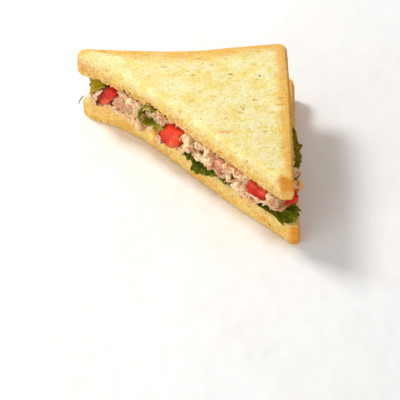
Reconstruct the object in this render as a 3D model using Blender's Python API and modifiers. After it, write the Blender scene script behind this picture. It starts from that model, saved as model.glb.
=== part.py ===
"""One diagonal half of a tuna salad sandwich, lying on its lower slice.

Metres, +Z up. The cut face looks to the front left, and the square corner of
the loaf lies behind on the right. The origin is the middle of the box's base.
"""

import math
import random
from dataclasses import dataclass

import bmesh
import bpy
from mathutils import Euler, Matrix, Vector, noise

MM = 0.001

# Driving sizes of the sandwich.
BREAD = 13.4 * MM  # thickness of a slice
FILLING = 19.2 * MM  # free height between the slices
GAP = 0.35 * MM  # clearance between pieces that touch
FOOT_GAP = 0.6 * MM  # clearance between the lower slice and the tuna, as both faces are faceted
LEAF = 0.6 * MM  # thickness of a lettuce leaf
CROWN = 0.9 * MM  # how far the middle of the upper slice stands above its tips
CROWN_REACH = 80 * MM  # distance from the middle at which the crown has gone

LOWER_TOP = BREAD
UPPER_FOOT = BREAD + FILLING
HEIGHT = UPPER_FOOT + BREAD

# The knife's path in plan, before the origin is moved to the middle of the base.
CUT_START = Vector((-54.0, 52.0)) * MM
CUT_END = Vector((48.0, -52.5)) * MM
INCENTRE = Vector((23.0, 20.5)) * MM  # middle of the triangle's inscribed circle
INRADIUS = 31.5 * MM
JITTER = 0.7 * MM  # how far a corner of a diced chunk is off its place
EDGE_ROUND = 1.3 * MM  # rounding of a diced chunk's edges

ALONG = (CUT_END - CUT_START).normalized()
OUTWARD = Vector((ALONG.y, -ALONG.x))
CUT_LENGTH = (CUT_END - CUT_START).length

BREAD_COLOUR = (0.80, 0.58, 0.22)
TUNA_COLOUR = (0.68, 0.45, 0.31)
TOMATO_COLOUR = (0.62, 0.035, 0.02)
CORN_COLOUR = (0.72, 0.42, 0.05)
LETTUCE_COLOUR = (0.12, 0.22, 0.02)
ONION_COLOUR = (0.50, 0.25, 0.27)


@dataclass(frozen=True)
class Slice:
    """Half a slice of bread: a right triangle whose two points end in a short piece of crust."""

    left: Vector  # corner between the back crust and the crust of the left point
    corner: Vector  # square corner of the loaf, behind on the right
    front: Vector  # corner between the right crust and the crust of the front point
    left_width: float  # width of the left point
    front_width: float  # width of the front point
    back_bow: float  # how far each side curves in
    right_bow: float
    cut_bow: float
    undercut: float  # how much further in the foot of the cut face lies
    corner_round: float


UPPER = Slice(
    left=Vector((-55.2, 55.4)) * MM,
    corner=Vector((57.0, 54.8)) * MM,
    front=Vector((55.2, -52.8)) * MM,
    left_width=6.0 * MM,
    front_width=7.2 * MM,
    back_bow=4.0 * MM,
    right_bow=-0.5 * MM,
    cut_bow=4.2 * MM,
    undercut=0.6 * MM,
    corner_round=4.0 * MM,
)
LOWER = Slice(
    left=Vector((-54.8, 54.6)) * MM,
    corner=Vector((61.9, 63.8)) * MM,
    front=Vector((58.6, -54.0)) * MM,
    left_width=3.6 * MM,
    front_width=5.6 * MM,
    back_bow=1.0 * MM,
    right_bow=0.5 * MM,
    cut_bow=6.2 * MM,
    undercut=2.0 * MM,
    corner_round=5.0 * MM,
)

# Steps on the outline, as (of the cut, of a crust, of a corner), and how round its small corners are.
STEPS = {"fine": (26, 11, 2), "coarse": (18, 9, 1)}
POINT_ROUND, CUT_ROUND = 1.6 * MM, 0.7 * MM

# Side profile of a slice: (height share, inset on the crust), with the rim rounded.
RIM = ((0.0, 1.0 * MM), (0.12, 0.3 * MM), (0.4, 0.0), (0.7, 0.0), (0.9, 0.6 * MM), (1.0, 1.7 * MM))
CUT_RIM = 0.25  # how much of that rounding the cut side has
CORE_RIM = ((0.0, 0.0), (1.0, 0.0))
CRUMB, CRUMB_PITCH, CRUMB_LAYERS = 0.45 * MM, 3.85 * MM, 5  # height, length and rows of the crumb's bumps
FACE_SHARES = (0.85, 0.5)  # rings of a face, as shares of the way out from the middle


def clear_scene():
    """Removes the objects of the startup scene."""
    for obj in list(bpy.data.objects):
        bpy.data.objects.remove(obj)


def new_collection(name):
    """A new collection in the scene."""
    made = bpy.data.collections.new(name)
    bpy.context.scene.collection.children.link(made)
    return made


def material(name, colour, roughness):
    """A Principled material of one plain colour."""
    made = bpy.data.materials.new(name)
    made.use_nodes = True
    shader = made.node_tree.nodes["Principled BSDF"]
    shader.inputs["Base Color"].default_value = (*colour, 1.0)
    shader.inputs["Roughness"].default_value = roughness
    shader.inputs["Metallic"].default_value = 0.0
    return made


def add_object(name, bm, collection, finish=None):
    """An object from a bmesh, which is freed."""
    bmesh.ops.recalc_face_normals(bm, faces=bm.faces)
    if bm.calc_volume(signed=True) < 0:
        bmesh.ops.reverse_faces(bm, faces=bm.faces)
    mesh = bpy.data.meshes.new(name)
    bm.to_mesh(mesh)
    bm.free()
    if finish:
        mesh.materials.append(finish)
    obj = bpy.data.objects.new(name, mesh)
    collection.objects.link(obj)
    return obj


def on_cut(along, inset, height):
    """A point given by its place along the cut, its depth behind the cut's plane and its height."""
    flat = CUT_START + ALONG * along - OUTWARD * inset
    return Vector((flat.x, flat.y, height))


# The faces of the slices, as heights over the plan.


def crown(x, y):
    """Rise of the upper slice: full in the middle, and none near its points."""
    away = (Vector((x, y)) - INCENTRE).length / CROWN_REACH
    return CROWN * (1 - away * away)


# Each as (place along the cut, depth behind it, height, spread), in millimetres.
FOOT_BUMPS = ((68.0, 2.0, 1.7, 13.0), (96.0, 3.0, 1.2, 14.0), (CUT_LENGTH / MM, 4.0, -1.9, 20.0))
HEAD_BUMPS = ((30.0, 34.0, -0.8, 22.0), (CUT_LENGTH / MM, 4.0, -0.7, 20.0))
LOWER_BUMPS = ((72.5, 88.6, 2.4, 20.0),)  # the lower slice is thicker at its square corner
FOOT_DROP = 0.4 * MM  # the upper slice is a little thicker than the lower one
SWELL, SWELL_PITCH = 0.25 * MM, (9 * MM, 14 * MM)  # slow waves in the top of the upper slice
DENT, DENT_PITCH = 0.35 * MM, (11 * MM, 13 * MM)  # shallow dents that the filling presses in the lower one


def bumps(x, y, places):
    """Sum of round rises, or dips where the height is negative, over places by the cut."""
    total = 0.0
    for along, inset, height, spread in places:
        middle = on_cut(along * MM, inset * MM, 0)
        away = math.hypot(x - middle.x, y - middle.y) / (spread * MM)
        total += height * MM * math.exp(-away * away)
    return total


def upper_foot(x, y):
    """Underside of the upper slice, lifted where chunks of the filling push it up."""
    return UPPER_FOOT + crown(x, y) + bumps(x, y, FOOT_BUMPS) - FOOT_DROP


def upper_head(x, y):
    """Top of the upper slice."""
    swell = SWELL * math.sin(x / SWELL_PITCH[0] + y / SWELL_PITCH[1])
    return HEIGHT + crown(x, y) + bumps(x, y, HEAD_BUMPS) + swell


def lower_head(x, y):
    """Top of the lower slice, pressed a little by the filling."""
    dent = DENT * math.sin(x / DENT_PITCH[0]) * math.cos(y / DENT_PITCH[1])
    return LOWER_TOP + bumps(x, y, LOWER_BUMPS) + dent


def lower_foot(x, y):
    """The flat base that the sandwich rests on."""
    return 0.0


# Outlines and lofts.


def even_bow(t):
    """A bow that is deepest in the middle of a side."""
    return 4 * t * (1 - t)


def early_bow(t):
    """A bow that is deepest a quarter of the way along a side."""
    return 256 / 27 * t * (1 - t) ** 3


def run(start, end, bow, shape, steps):
    """Points from start to end, both included, curving in to the left of the run by bow."""
    left = Vector((start.y - end.y, end.x - start.x)).normalized()
    shares = [i / steps for i in range(steps + 1)]
    return [start.lerp(end, t) + left * (bow * shape(t)) for t in shares]


def corner_arc(before, corner, after, steps):
    """Points strictly between before and after on the curve that rounds a corner."""
    shares = [i / (steps + 1) for i in range(1, steps + 1)]
    return [before.lerp(corner, t).lerp(corner.lerp(after, t), t) for t in shares]


def outline(piece, detail):
    """The half's outline, counter-clockwise from its left point, as (point, share of crust, reach).

    The reach is the distance from the slice's middle to the side that the point is on.
    """
    cut_steps, crust_steps, corner_steps = STEPS[detail]
    left_end = piece.left - Vector((0, piece.left_width))
    cut_end = piece.front - Vector((piece.front_width, 0))
    corners = [piece.left, left_end, cut_end, piece.front, piece.corner]
    rounds = [POINT_ROUND, CUT_ROUND, CUT_ROUND, POINT_ROUND, piece.corner_round]
    bows = [0.0, piece.cut_bow, 0.0, piece.right_bow, piece.back_bow]
    steps = [1, cut_steps, 1, crust_steps, crust_steps]
    crusts = [1.0, 0.0, 1.0, 1.0, 1.0]
    ways = [(corners[(i + 1) % 5] - corner).normalized() for i, corner in enumerate(corners)]
    reaches = [abs(way.cross(INCENTRE - corner)) for way, corner in zip(ways, corners)]
    points = []
    for i, corner in enumerate(corners):
        following = (i + 1) % 5
        after = corners[following]
        start, end = corner + ways[i] * rounds[i], after - ways[i] * rounds[following]
        shape = early_bow if crusts[i] == 0 else even_bow
        points += [(p, crusts[i], reaches[i]) for p in run(start, end, bows[i], shape, steps[i])]
        next_start = after + ways[following] * rounds[following]
        crust = (crusts[i] + crusts[following]) / 2
        reach = (reaches[i] + reaches[following]) / 2
        points += [(p, crust, reach) for p in corner_arc(end, after, next_start, corner_steps)]
    return points


def loft(name, rings, collection, finish):
    """A closed solid through a stack of rings, its ends closed by a fan to their middle."""
    bm = bmesh.new()
    layers = [[bm.verts.new(p) for p in points] for points in rings]
    count = len(layers[0])
    for below, above in zip(layers, layers[1:]):
        for i in range(count):
            j = (i + 1) % count
            bm.faces.new((below[i], below[j], above[j], above[i]))
    for layer in (layers[0], layers[-1]):
        middle = bm.verts.new(sum((v.co for v in layer), Vector()) / count)
        for i in range(count):
            bm.faces.new((layer[i], layer[(i + 1) % count], middle))
    return add_object(name, bm, collection, finish)


def crumb(point, share):
    """Roughness of a cut crumb face, by place along the cut and height share."""
    return CRUMB * noise.noise(Vector((point.x / CRUMB_PITCH, point.y / CRUMB_PITCH, share * CRUMB_LAYERS)))


def slab(name, piece, low, high, collection, finish, rim=RIM, detail="fine", pull_in=(0.0, 0.0)):
    """A slice-shaped solid between two height functions, its crust and cut sides set back by pull_in."""
    edge = outline(piece, detail)

    def ring(face_share, share, crust_inset=0.0, cut=False):
        """The outline drawn in to a share of its size, at a height share between low and high."""
        placed = []
        for point, crust, reach in edge:
            rounding = (CUT_RIM + (1 - CUT_RIM) * crust) * crust_inset
            inset = crust * pull_in[0] + (1 - crust) * pull_in[1]
            if cut:
                inset += (1 - crust) * (piece.undercut * (1 - share) + crumb(point, share))
            flat = INCENTRE + (point - INCENTRE) * (face_share - rounding / reach - inset / INRADIUS)
            foot, head = low(flat.x, flat.y), high(flat.x, flat.y)
            placed.append(Vector((flat.x, flat.y, foot + share * (head - foot))))
        return placed

    rings = [ring(face_share, 0.0) for face_share in reversed(FACE_SHARES)]
    rings += [ring(1.0, share, inset, cut=True) for share, inset in rim]
    rings += [ring(face_share, 1.0) for face_share in FACE_SHARES]
    return loft(name, rings, collection, finish)


# Pieces of the filling.


@dataclass(frozen=True)
class Chunk:
    """A diced piece: a box that leans, with rounded edges."""

    name: str
    centre: Vector
    size: tuple  # along the cut, depth, height
    lean: float  # how far the top shifts along the cut, as a share of the height
    rise: float  # how far the far end rises, as a share of the length
    turn: float  # turn about +Z, in degrees
    colour: str


def by_cut(along, inset, height):
    """A point given by the cut, in millimetres."""
    return on_cut(along * MM, inset * MM, height * MM)


def on_side(x, y, height):
    """A point given by its plan place and its height, in millimetres."""
    return Vector((x, y, height)) * MM


CHUNKS = (
    Chunk("tomato_left", by_cut(18.2, 4.0, 23.0), (8.6, 8.5, 12.4), 0.55, 0.12, 8, "tomato"),
    Chunk("tomato_middle", by_cut(66.2, 5.4, 23.6), (14.0, 11.5, 14.4), 0.42, 0.14, -10, "tomato"),
    Chunk("tomato_right", by_cut(129.8, 4.0, 25.4), (11.6, 8.0, 7.4), 0.20, -0.14, 8, "tomato"),
    Chunk("tomato_tip", on_side(54.2, -42.4, 21.8), (8.0, 6.4, 6.6), 0.10, 0.05, 62, "tomato"),
    Chunk("tomato_side", on_side(55.6, -34.9, 22.2), (5.6, 5.4, 6.2), 0.10, -0.10, 30, "tomato"),
    Chunk("tomato_back", on_side(-12.0, 45.0, 24.0), (11.0, 9.0, 12.0), 0.15, 0.10, 200, "tomato"),
    Chunk("onion_middle", by_cut(102.8, 1.2, 26.6), (6.0, 4.4, 7.8), 0.10, 0.10, 0, "onion"),
)
KERNEL = (3.3 * MM, 3.0 * MM, 4.6 * MM)  # half sizes of a sweetcorn kernel
KERNELS = {
    "corn_middle": (by_cut(52.6, 2.0, 18.0), 20),
    "corn_side": (on_side(59.2, -29.4, 21.4), 70),
    "corn_back": (on_side(22.0, 48.0, 25.0), 150),
}


def chunk(spec, collection, finish=None):
    """A diced chunk, its box leaning and its edges bevelled. Without a finish it is the chunk's room."""
    bm = bmesh.new()
    bmesh.ops.create_cube(bm, size=1.0)
    grow = 0.0 if finish else GAP
    length, depth, height = (side * MM + 2 * grow for side in spec.size)
    rough = random.Random(spec.name)
    for vert in bm.verts:
        x, y, z = vert.co.x * length, vert.co.y * depth, vert.co.z * height
        push = Vector([rough.uniform(-JITTER, JITTER) for _ in range(3)])
        vert.co = Vector((x + spec.lean * z, y, z + spec.rise * x)) + push
    if finish:
        bmesh.ops.bevel(bm, geom=bm.edges[:], offset=EDGE_ROUND, segments=2, profile=0.6, affect="EDGES")
    angle = math.atan2(ALONG.y, ALONG.x) + math.radians(spec.turn)
    bm.transform(Matrix.Translation(spec.centre) @ Matrix.Rotation(angle, 4, "Z"))
    return add_object(spec.name, bm, collection, finish)


def kernel(name, collection, finish=None):
    """A sweetcorn kernel: a ball drawn to a blunt wedge. Without a finish it is the kernel's room."""
    centre, turn = KERNELS[name]
    grow = 0.0 if finish else GAP
    bm = bmesh.new()
    bmesh.ops.create_icosphere(bm, subdivisions=2, radius=1.0)
    for vert in bm.verts:
        taper = 1.0 - 0.3 * vert.co.z
        vert.co.x *= (KERNEL[0] + grow) * taper
        vert.co.y *= (KERNEL[1] + grow) * taper
        vert.co.z *= KERNEL[2] + grow
    bm.transform(Matrix.Translation(centre) @ Euler((-0.25, 0.1, math.radians(turn))).to_matrix().to_4x4())
    return add_object(name, bm, collection, finish)


# Lettuce: each leaf is a sheet over (u, v), with u from its root to its frilled edge and v across it.


def bezier(knots, t):
    """A point of the cubic curve with these four control values."""
    a, b, c, d = knots
    return a * (1 - t) ** 3 + 3 * b * t * (1 - t) ** 2 + 3 * c * t * t * (1 - t) + d * t**3


def leaf_middle(u, v):
    """Comes out under the tuna near the middle of the cut, hangs over the lower slice's edge, and dips back once."""
    along = 94.5 + 13.3 * v * (0.8 + 0.2 * u)
    inset = 1.2 + 0.8 * v + 1.9 * math.exp(-(((v - 0.3) / 0.25) ** 2))
    hem = 12.3 + 3.3 * v + 1.9 * math.exp(-(((v - 0.3) / 0.3) ** 2))
    wave = 0.5 * u * math.sin(9.0 * v)
    return by_cut(along, bezier((10.0, 5.0, 1.5 + inset, inset), u) - wave, bezier((15.0, 17.5, 18.0, hem), u))


def leaf_tip(u, v):
    """Lies on the lower slice at the front point and sticks out past it."""
    reach = 20.6 * u + 1.0 * u * math.cos(4.4 * v)
    across = 7.0 * v * (1.05 - 0.35 * u)
    frill = 0.9 * u * u * math.sin(6.5 * v + 1.0) - 1.1 * u**6
    height = LOWER_TOP / MM + 1.6 + 1.5 * u * (1 - u) + frill + 1.6 * u
    return on_side(43.2 + 0.645 * reach + 0.762 * across, -34.0 - 0.762 * reach + 0.645 * across, height)


def leaf_side(u, v):
    """Lies on the lower slice and shows a frilled, notched edge along the right side."""
    notch = 1.8 * math.exp(-(((v + 0.06) / 0.08) ** 2)) * u**6
    reach = u * (16.3 - 4.5 * v * v + 0.7 * math.cos(6.0 * v)) - notch
    frill = 1.8 * u**3 * math.sin(10.5 * v)
    height = LOWER_TOP / MM + 1.25 + 2.4 * u * u + frill
    return on_side(46.2 + reach, 21.5 * v * (0.80 + 0.20 * u), height)


def leaf_left(u, v):
    """Hangs crumpled from under the upper slice at the left point."""
    reach = 10.8 * u + 0.8 * u * math.cos(6.0 * v)
    across = 6.0 * v * (1.05 - 0.25 * u)
    fold = 1.1 * u * math.sin(7.0 * v + 0.4)
    height = UPPER_FOOT / MM - 1.9 - 7.4 * u * abs(u) ** 0.4 + fold
    return on_side(-39.8 - reach, 42.2 + 0.50 * reach + across, height)


def leaf_back(u, v):
    """Shows a frilled edge along the back, like the one on the right."""
    reach = 13.0 * u + 1.0 * u * math.sin(8.0 * v + 2.0)
    frill = 2.0 * u**3 * math.sin(10.0 * v + 1.0)
    height = LOWER_TOP / MM + 1.25 + 2.2 * u * u + frill
    return on_side(14.0 + 18.0 * v * (0.8 + 0.2 * u), 41.4 + reach, height)


# The roll's line on the cut face, as (along the cut, height), and how deep the roll starts and ends.
CURL_PATH = (
    (58.0, 29.2),
    (51.5, 31.0),
    (46.0, 29.6),
    (43.9, 25.4),
    (46.3, 22.4),
    (52.5, 24.0),
    (58.6, 26.2),
)
CURL_DEPTH = (9.0, -1.6)


def leaf_curl(u, v):
    """A leaf rolled up on itself, cut across so that its roll shows on the cut face."""
    place = (v + 1) / 2 * (len(CURL_PATH) - 1)
    first = min(int(place), len(CURL_PATH) - 2)
    knots = [CURL_PATH[min(max(first + i, 0), len(CURL_PATH) - 1)] for i in (-1, 0, 1, 2)]
    t = place - first
    weights = (
        -0.5 * t + t * t - 0.5 * t**3,
        1 - 2.5 * t * t + 1.5 * t**3,
        0.5 * t + 2 * t * t - 1.5 * t**3,
        -0.5 * t * t + 0.5 * t**3,
    )
    along, height = (sum(w * knot[axis] for w, knot in zip(weights, knots)) for axis in (0, 1))
    inset = CURL_DEPTH[0] + (CURL_DEPTH[1] - CURL_DEPTH[0]) * u + 0.5 * u * math.sin(9 * v)
    return by_cut(along, inset, height)


# Name: (sheet, steps along u, steps along v, which side of the leaf the tuna lies on).
LEAVES = {
    "lettuce_middle": (leaf_middle, 8, 14, "above"),
    "lettuce_tip": (leaf_tip, 6, 10, "above"),
    "lettuce_side": (leaf_side, 5, 22, "above"),
    "lettuce_left": (leaf_left, 5, 10, "below"),
    "lettuce_back": (leaf_back, 5, 20, "above"),
    "lettuce_curl": (leaf_curl, 2, 20, "both"),
}


ROOM_REACH, CURL_REACH = 1.14, 1.06  # how far the room of a leaf passes its edges, and that of the rolled leaf
LEAF_CLEAR = 1.3 * MM  # height from a leaf's middle to the tuna on it


def sheet(name, reach=1.0):
    """A leaf's open surface as a bmesh, split into triangles. A reach over 1 carries it past its edges."""
    shape, along_steps, across_steps, _ = LEAVES[name]
    bm = bmesh.new()
    bmesh.ops.create_grid(bm, x_segments=along_steps, y_segments=across_steps, size=reach)
    for vert in bm.verts:
        vert.co = shape((vert.co.x + 1) / 2, vert.co.y)
    bmesh.ops.triangulate(bm, faces=bm.faces, quad_method="ALTERNATE")
    return bm


def leaf(name, collection, finish):
    """A lettuce leaf: its sheet with an even thickness."""
    obj = add_object(name, sheet(name), collection, finish)
    solid = obj.modifiers.new("thickness", "SOLIDIFY")
    solid.thickness = LEAF
    solid.offset = 0.0
    solid.use_even_offset = True
    return obj


def leaf_cutter(name, collection):
    """The room that a leaf takes from the tuna, with all that lies between it and its slice."""
    side = LEAVES[name][3]
    if side == "both":
        obj = add_object("room_" + name, sheet(name, CURL_REACH), collection)
        solid = obj.modifiers.new("thickness", "SOLIDIFY")
        solid.thickness = LEAF + 2 * GAP
        solid.offset = 0.0
        return obj
    clear = LEAF_CLEAR if side == "above" else -LEAF_CLEAR
    far_side = -BREAD if side == "above" else HEIGHT
    bm = sheet(name, ROOM_REACH)
    bm.transform(Matrix.Translation((0, 0, clear)))
    made = bmesh.ops.extrude_face_region(bm, geom=bm.faces[:])
    for vert in (v for v in made["geom"] if isinstance(v, bmesh.types.BMVert)):
        vert.co.z = far_side
    return add_object("room_" + name, bm, collection)


# Tuna: a core between the slices, with flakes and lumps fused along its three sides.

CORE_PULL_IN = (5.5 * MM, 2.2 * MM)  # how far the core stays behind the crusts and behind the cut
LUMP_CLEAR = 0.5 * MM  # how far a lump stays below and above the core's faces
COVER = 0.35  # share of its radius by which a lump may stand over a topping
CUT_LUMPS, CUT_ROWS = 19, 3
SIDE_LUMPS, SIDE_ROWS = 10, 2
LUMP_SEGMENTS, LUMP_RINGS = 6, 4
LUMP_ROUGH = 0.38  # unevenness of a lump, as a share of its radius
LUMP_STRETCH = ((1.0, 1.5), (0.75, 1.0), (0.65, 0.9))  # least and most of its length, width and height
SQUEEZE = (95 * MM, 30 * MM, 2.0 * MM)  # where along the cut the tuna is squeezed out, how wide, how far
SEED = 21


def tuna_foot(x, y):
    """Underside of the tuna, just above the lower slice."""
    return lower_head(x, y) + FOOT_GAP


def tuna_head(x, y):
    """Top of the tuna, just under the upper slice."""
    return upper_foot(x, y) - GAP


def lump(name, centre, radius, rough, collection):
    """One flake of tuna: an uneven ball with few sides, stretched and pressed between the slices."""
    bm = bmesh.new()
    bmesh.ops.create_uvsphere(bm, u_segments=LUMP_SEGMENTS, v_segments=LUMP_RINGS, radius=radius)
    offset = Vector((rough.uniform(0, 50), rough.uniform(0, 50), 0))
    for vert in bm.verts:
        vert.co *= 1 + LUMP_ROUGH * noise.noise(vert.co / radius * 1.1 + offset)
    stretch = Matrix.Diagonal([rough.uniform(low, high) for low, high in LUMP_STRETCH] + [1.0])
    turn = Euler((rough.uniform(-0.5, 0.5), rough.uniform(-0.5, 0.5), rough.uniform(0, math.tau)))
    bm.transform(Matrix.Translation(centre) @ turn.to_matrix().to_4x4() @ stretch)
    for vert in bm.verts:
        low = tuna_foot(vert.co.x, vert.co.y) + LUMP_CLEAR
        high = tuna_head(vert.co.x, vert.co.y) - LUMP_CLEAR
        vert.co.z = min(max(vert.co.z, low), high)
    return add_object(name, bm, collection)


def core_inset(along):
    """How far the core's cut side lies behind the knife's path."""
    share = along / CUT_LENGTH
    left_end = UPPER.left - Vector((0, UPPER.left_width))
    start = (CUT_START - left_end).dot(OUTWARD)
    return start * (1 - share) + UPPER.cut_bow * early_bow(share) + CORE_PULL_IN[1]


def lump_height(point, row, rows, rough):
    """A height for a lump of one row, between the faces of the core."""
    low, high = tuna_foot(point.x, point.y), tuna_head(point.x, point.y)
    return low + (high - low) * (row + rough.uniform(0.3, 0.7)) / rows


# Places of the rolled leaf and of the hanging leaf, as (along the cut, height).
LEAF_PLACES = (
    (49.0, 26.0),
    (47.0, 17.5),
    (80.0, 14.5),
    (88.0, 15.0),
    (96.0, 15.5),
    (104.0, 15.5),
    (138.0, 15.5),
    (145.0, 16.5),
)
LEAF_REACH = 5.0 * MM  # how far round such a place no lump's middle comes


def hides_topping(spot, radius):
    """Whether a lump would stand before a chunk, a kernel or one of the leaves on the cut."""
    toppings = [(spec.centre, max(spec.size) / 2 * MM) for spec in CHUNKS]
    toppings += [(centre, KERNEL[2]) for centre, _ in KERNELS.values()]
    toppings += [(by_cut(along, 0, height), LEAF_REACH) for along, height in LEAF_PLACES]
    return any((spot - centre).length < reach + COVER * radius for centre, reach in toppings)


def lump_places(rough):
    """(centre, radius) of each lump, spread evenly along the cut, the right side and the back."""
    places = []
    for column in range(CUT_LUMPS):
        for row in range(CUT_ROWS):
            along = CUT_LENGTH * (column + 0.5 + rough.uniform(-0.3, 0.3)) / CUT_LUMPS
            middle, width, push = SQUEEZE
            squeeze = push * math.exp(-(((along - middle) / width) ** 2))
            spot = on_cut(along, core_inset(along) + rough.uniform(-1.0, 1.4) * MM - squeeze, 0)
            spot.z = lump_height(spot, row, CUT_ROWS, rough)
            places.append((spot, rough.uniform(3.2, 4.8) * MM))
    for column in range(SIDE_LUMPS):
        for row in range(SIDE_ROWS):
            share = (column + rough.uniform(0.3, 0.7)) / SIDE_LUMPS
            right = on_side(52.0 + rough.uniform(-1, 1), 46 - 86 * share, 0)
            back = on_side(-40 + 88 * share, 46.6 + rough.uniform(-1, 1), 0)
            for spot in (right, back):
                spot.z = lump_height(spot, row, SIDE_ROWS, rough)
                places.append((spot, rough.uniform(4.0, 5.4) * MM))
    return [(spot, radius) for spot, radius in places if not hides_topping(spot, radius)]


def apply_boolean(target, operation, collection):
    """Joins a collection to target, or cuts it away, and removes the collection's objects."""
    modifier = target.modifiers.new(operation.lower(), "BOOLEAN")
    modifier.operation = operation
    modifier.operand_type = "COLLECTION"
    modifier.collection = collection
    modifier.solver = "MANIFOLD"
    bpy.context.view_layer.update()
    evaluated = target.evaluated_get(bpy.context.evaluated_depsgraph_get())
    result = bpy.data.meshes.new_from_object(evaluated)
    target.modifiers.clear()
    target.data = result
    for obj in list(collection.objects):
        bpy.data.objects.remove(obj)
    bpy.data.collections.remove(collection)


def keep_outer_shell(obj):
    """Keeps the largest closed shell, which drops loose scraps and fills sealed hollows."""
    bm = bmesh.new()
    bm.from_mesh(obj.data)
    left = set(bm.verts)
    shells = []
    while left:
        stack = [left.pop()]
        shell = set(stack)
        while stack:
            for edge in stack.pop().link_edges:
                for vert in edge.verts:
                    if vert in left:
                        left.remove(vert)
                        shell.add(vert)
                        stack.append(vert)
        shells.append(shell)
    largest = max(shells, key=len)
    bmesh.ops.delete(bm, geom=[v for v in bm.verts if v not in largest], context="VERTS")
    bm.to_mesh(obj.data)
    bm.free()


def tuna(parts, finish):
    """The tuna salad: a core with lumps fused on, hollowed where chunks and leaves sit in it."""
    faces = (tuna_foot, tuna_head)
    core = slab("tuna_salad", UPPER, *faces, parts, finish, CORE_RIM, "coarse", CORE_PULL_IN)
    rough = random.Random(SEED)
    lumps = new_collection("lumps")
    for n, (centre, radius) in enumerate(lump_places(rough)):
        lump(f"lump_{n}", centre, radius, rough, lumps)
    apply_boolean(core, "UNION", lumps)

    rooms = new_collection("rooms")
    for spec in CHUNKS:
        chunk(spec, rooms)
    for name in KERNELS:
        kernel(name, rooms)
    for name in LEAVES:
        leaf_cutter(name, rooms)
    apply_boolean(core, "DIFFERENCE", rooms)
    keep_outer_shell(core)
    return core


def centre_on_base(parts):
    """Moves every part so that the origin is the middle of the whole's base."""
    bpy.context.view_layer.update()
    graph = bpy.context.evaluated_depsgraph_get()
    meshes = [obj.evaluated_get(graph).to_mesh() for obj in parts.objects]
    points = [vert.co.copy() for mesh in meshes for vert in mesh.vertices]
    lowest = Vector([min(p[axis] for p in points) for axis in range(3)])
    highest = Vector([max(p[axis] for p in points) for axis in range(3)])
    middle = Vector(((lowest.x + highest.x) / 2, (lowest.y + highest.y) / 2, lowest.z))
    for obj in parts.objects:
        obj.data.transform(Matrix.Translation(-middle))


def main():
    """Builds the half sandwich."""
    clear_scene()
    parts = new_collection("tuna_sandwich_half")
    finishes = {
        "bread": material("bread", BREAD_COLOUR, 0.85),
        "tuna": material("tuna", TUNA_COLOUR, 0.5),
        "tomato": material("tomato", TOMATO_COLOUR, 0.25),
        "corn": material("corn", CORN_COLOUR, 0.3),
        "lettuce": material("lettuce", LETTUCE_COLOUR, 0.4),
        "onion": material("onion", ONION_COLOUR, 0.3),
    }
    slab("bread_bottom", LOWER, lower_foot, lower_head, parts, finishes["bread"])
    slab("bread_top", UPPER, upper_foot, upper_head, parts, finishes["bread"])
    tuna(parts, finishes["tuna"])
    for spec in CHUNKS:
        chunk(spec, parts, finishes[spec.colour])
    for name in KERNELS:
        kernel(name, parts, finishes["corn"])
    for name in LEAVES:
        leaf(name, parts, finishes["lettuce"])
    centre_on_base(parts)


main()
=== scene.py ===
"""The looks of a tuna salad sandwich half: bread, filling, floor, light and camera.

Lengths are in millimetres on the plan that the sandwich was drawn on, whose zero
lies at PLAN_ZERO from the frame's origin. They become metres when a mesh is made.
"""

from __future__ import annotations

import logging
import math
from collections.abc import Callable
from dataclasses import dataclass, field
from enum import Enum
from functools import cache

import bpy
import numpy as np
from mathutils import Matrix, Vector


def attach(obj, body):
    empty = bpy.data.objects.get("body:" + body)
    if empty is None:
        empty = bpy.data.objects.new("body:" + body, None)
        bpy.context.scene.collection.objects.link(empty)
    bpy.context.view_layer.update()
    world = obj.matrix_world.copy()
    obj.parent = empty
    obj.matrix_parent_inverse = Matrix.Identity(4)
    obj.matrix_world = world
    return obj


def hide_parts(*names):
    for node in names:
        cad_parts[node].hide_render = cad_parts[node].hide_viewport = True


Array = np.ndarray
Colour = tuple[float, float, float]
Triple = tuple[float, float, float]  # a place, a size or a factor, by axis
Table = tuple[tuple[float, ...], ...]  # rows of numbers, each explained where it is used
Height = Callable[[Array], Array]
Sheet = Callable[[Array, Array], Array]

log = logging.getLogger("sandwich")

MM = 0.001
PLAN_ZERO = np.array([3.968, 4.704, 0.0])  # the frame's origin, on the plan
BODY = "root"
UNSTRETCHED: Triple = (1.0, 1.0, 1.0)

# Driving sizes, as in the solids.
BREAD = 13.4
FILLING = 19.2
LOWER_TOP = BREAD
UPPER_FOOT = BREAD + FILLING
HEIGHT = UPPER_FOOT + BREAD

# The knife's path, and the middle of the triangle that it leaves.
CUT_START = np.array([-54.0, 52.0])
CUT_END = np.array([48.0, -52.5])
CUT_LENGTH = float(np.linalg.norm(CUT_END - CUT_START))
ALONG = (CUT_END - CUT_START) / CUT_LENGTH
OUTWARD = np.array([ALONG[1], -ALONG[0]])
INCENTRE = np.array([23.0, 20.5])
INRADIUS = 31.5


# ---------------------------------------------------------------- arrays and noise


def ease(low: float, high: float, value: Array) -> Array:
    """A smooth step from 0 at low to 1 at high, by the cubic 3t^2 - 2t^3.

    Args:
        low: Value at which the step starts.
        high: Value at which the step ends.
        value: Values to look up.

    Returns:
        The step's height at each value.
    """
    share = np.clip((value - low) / (high - low), 0.0, 1.0)
    return share * share * (3 - 2 * share)


def hill(value: Array, spread: float) -> Array:
    """A bell of height 1 at zero, exp(-(value / spread)^2)."""
    return np.exp(-((value / spread) ** 2))


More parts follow.
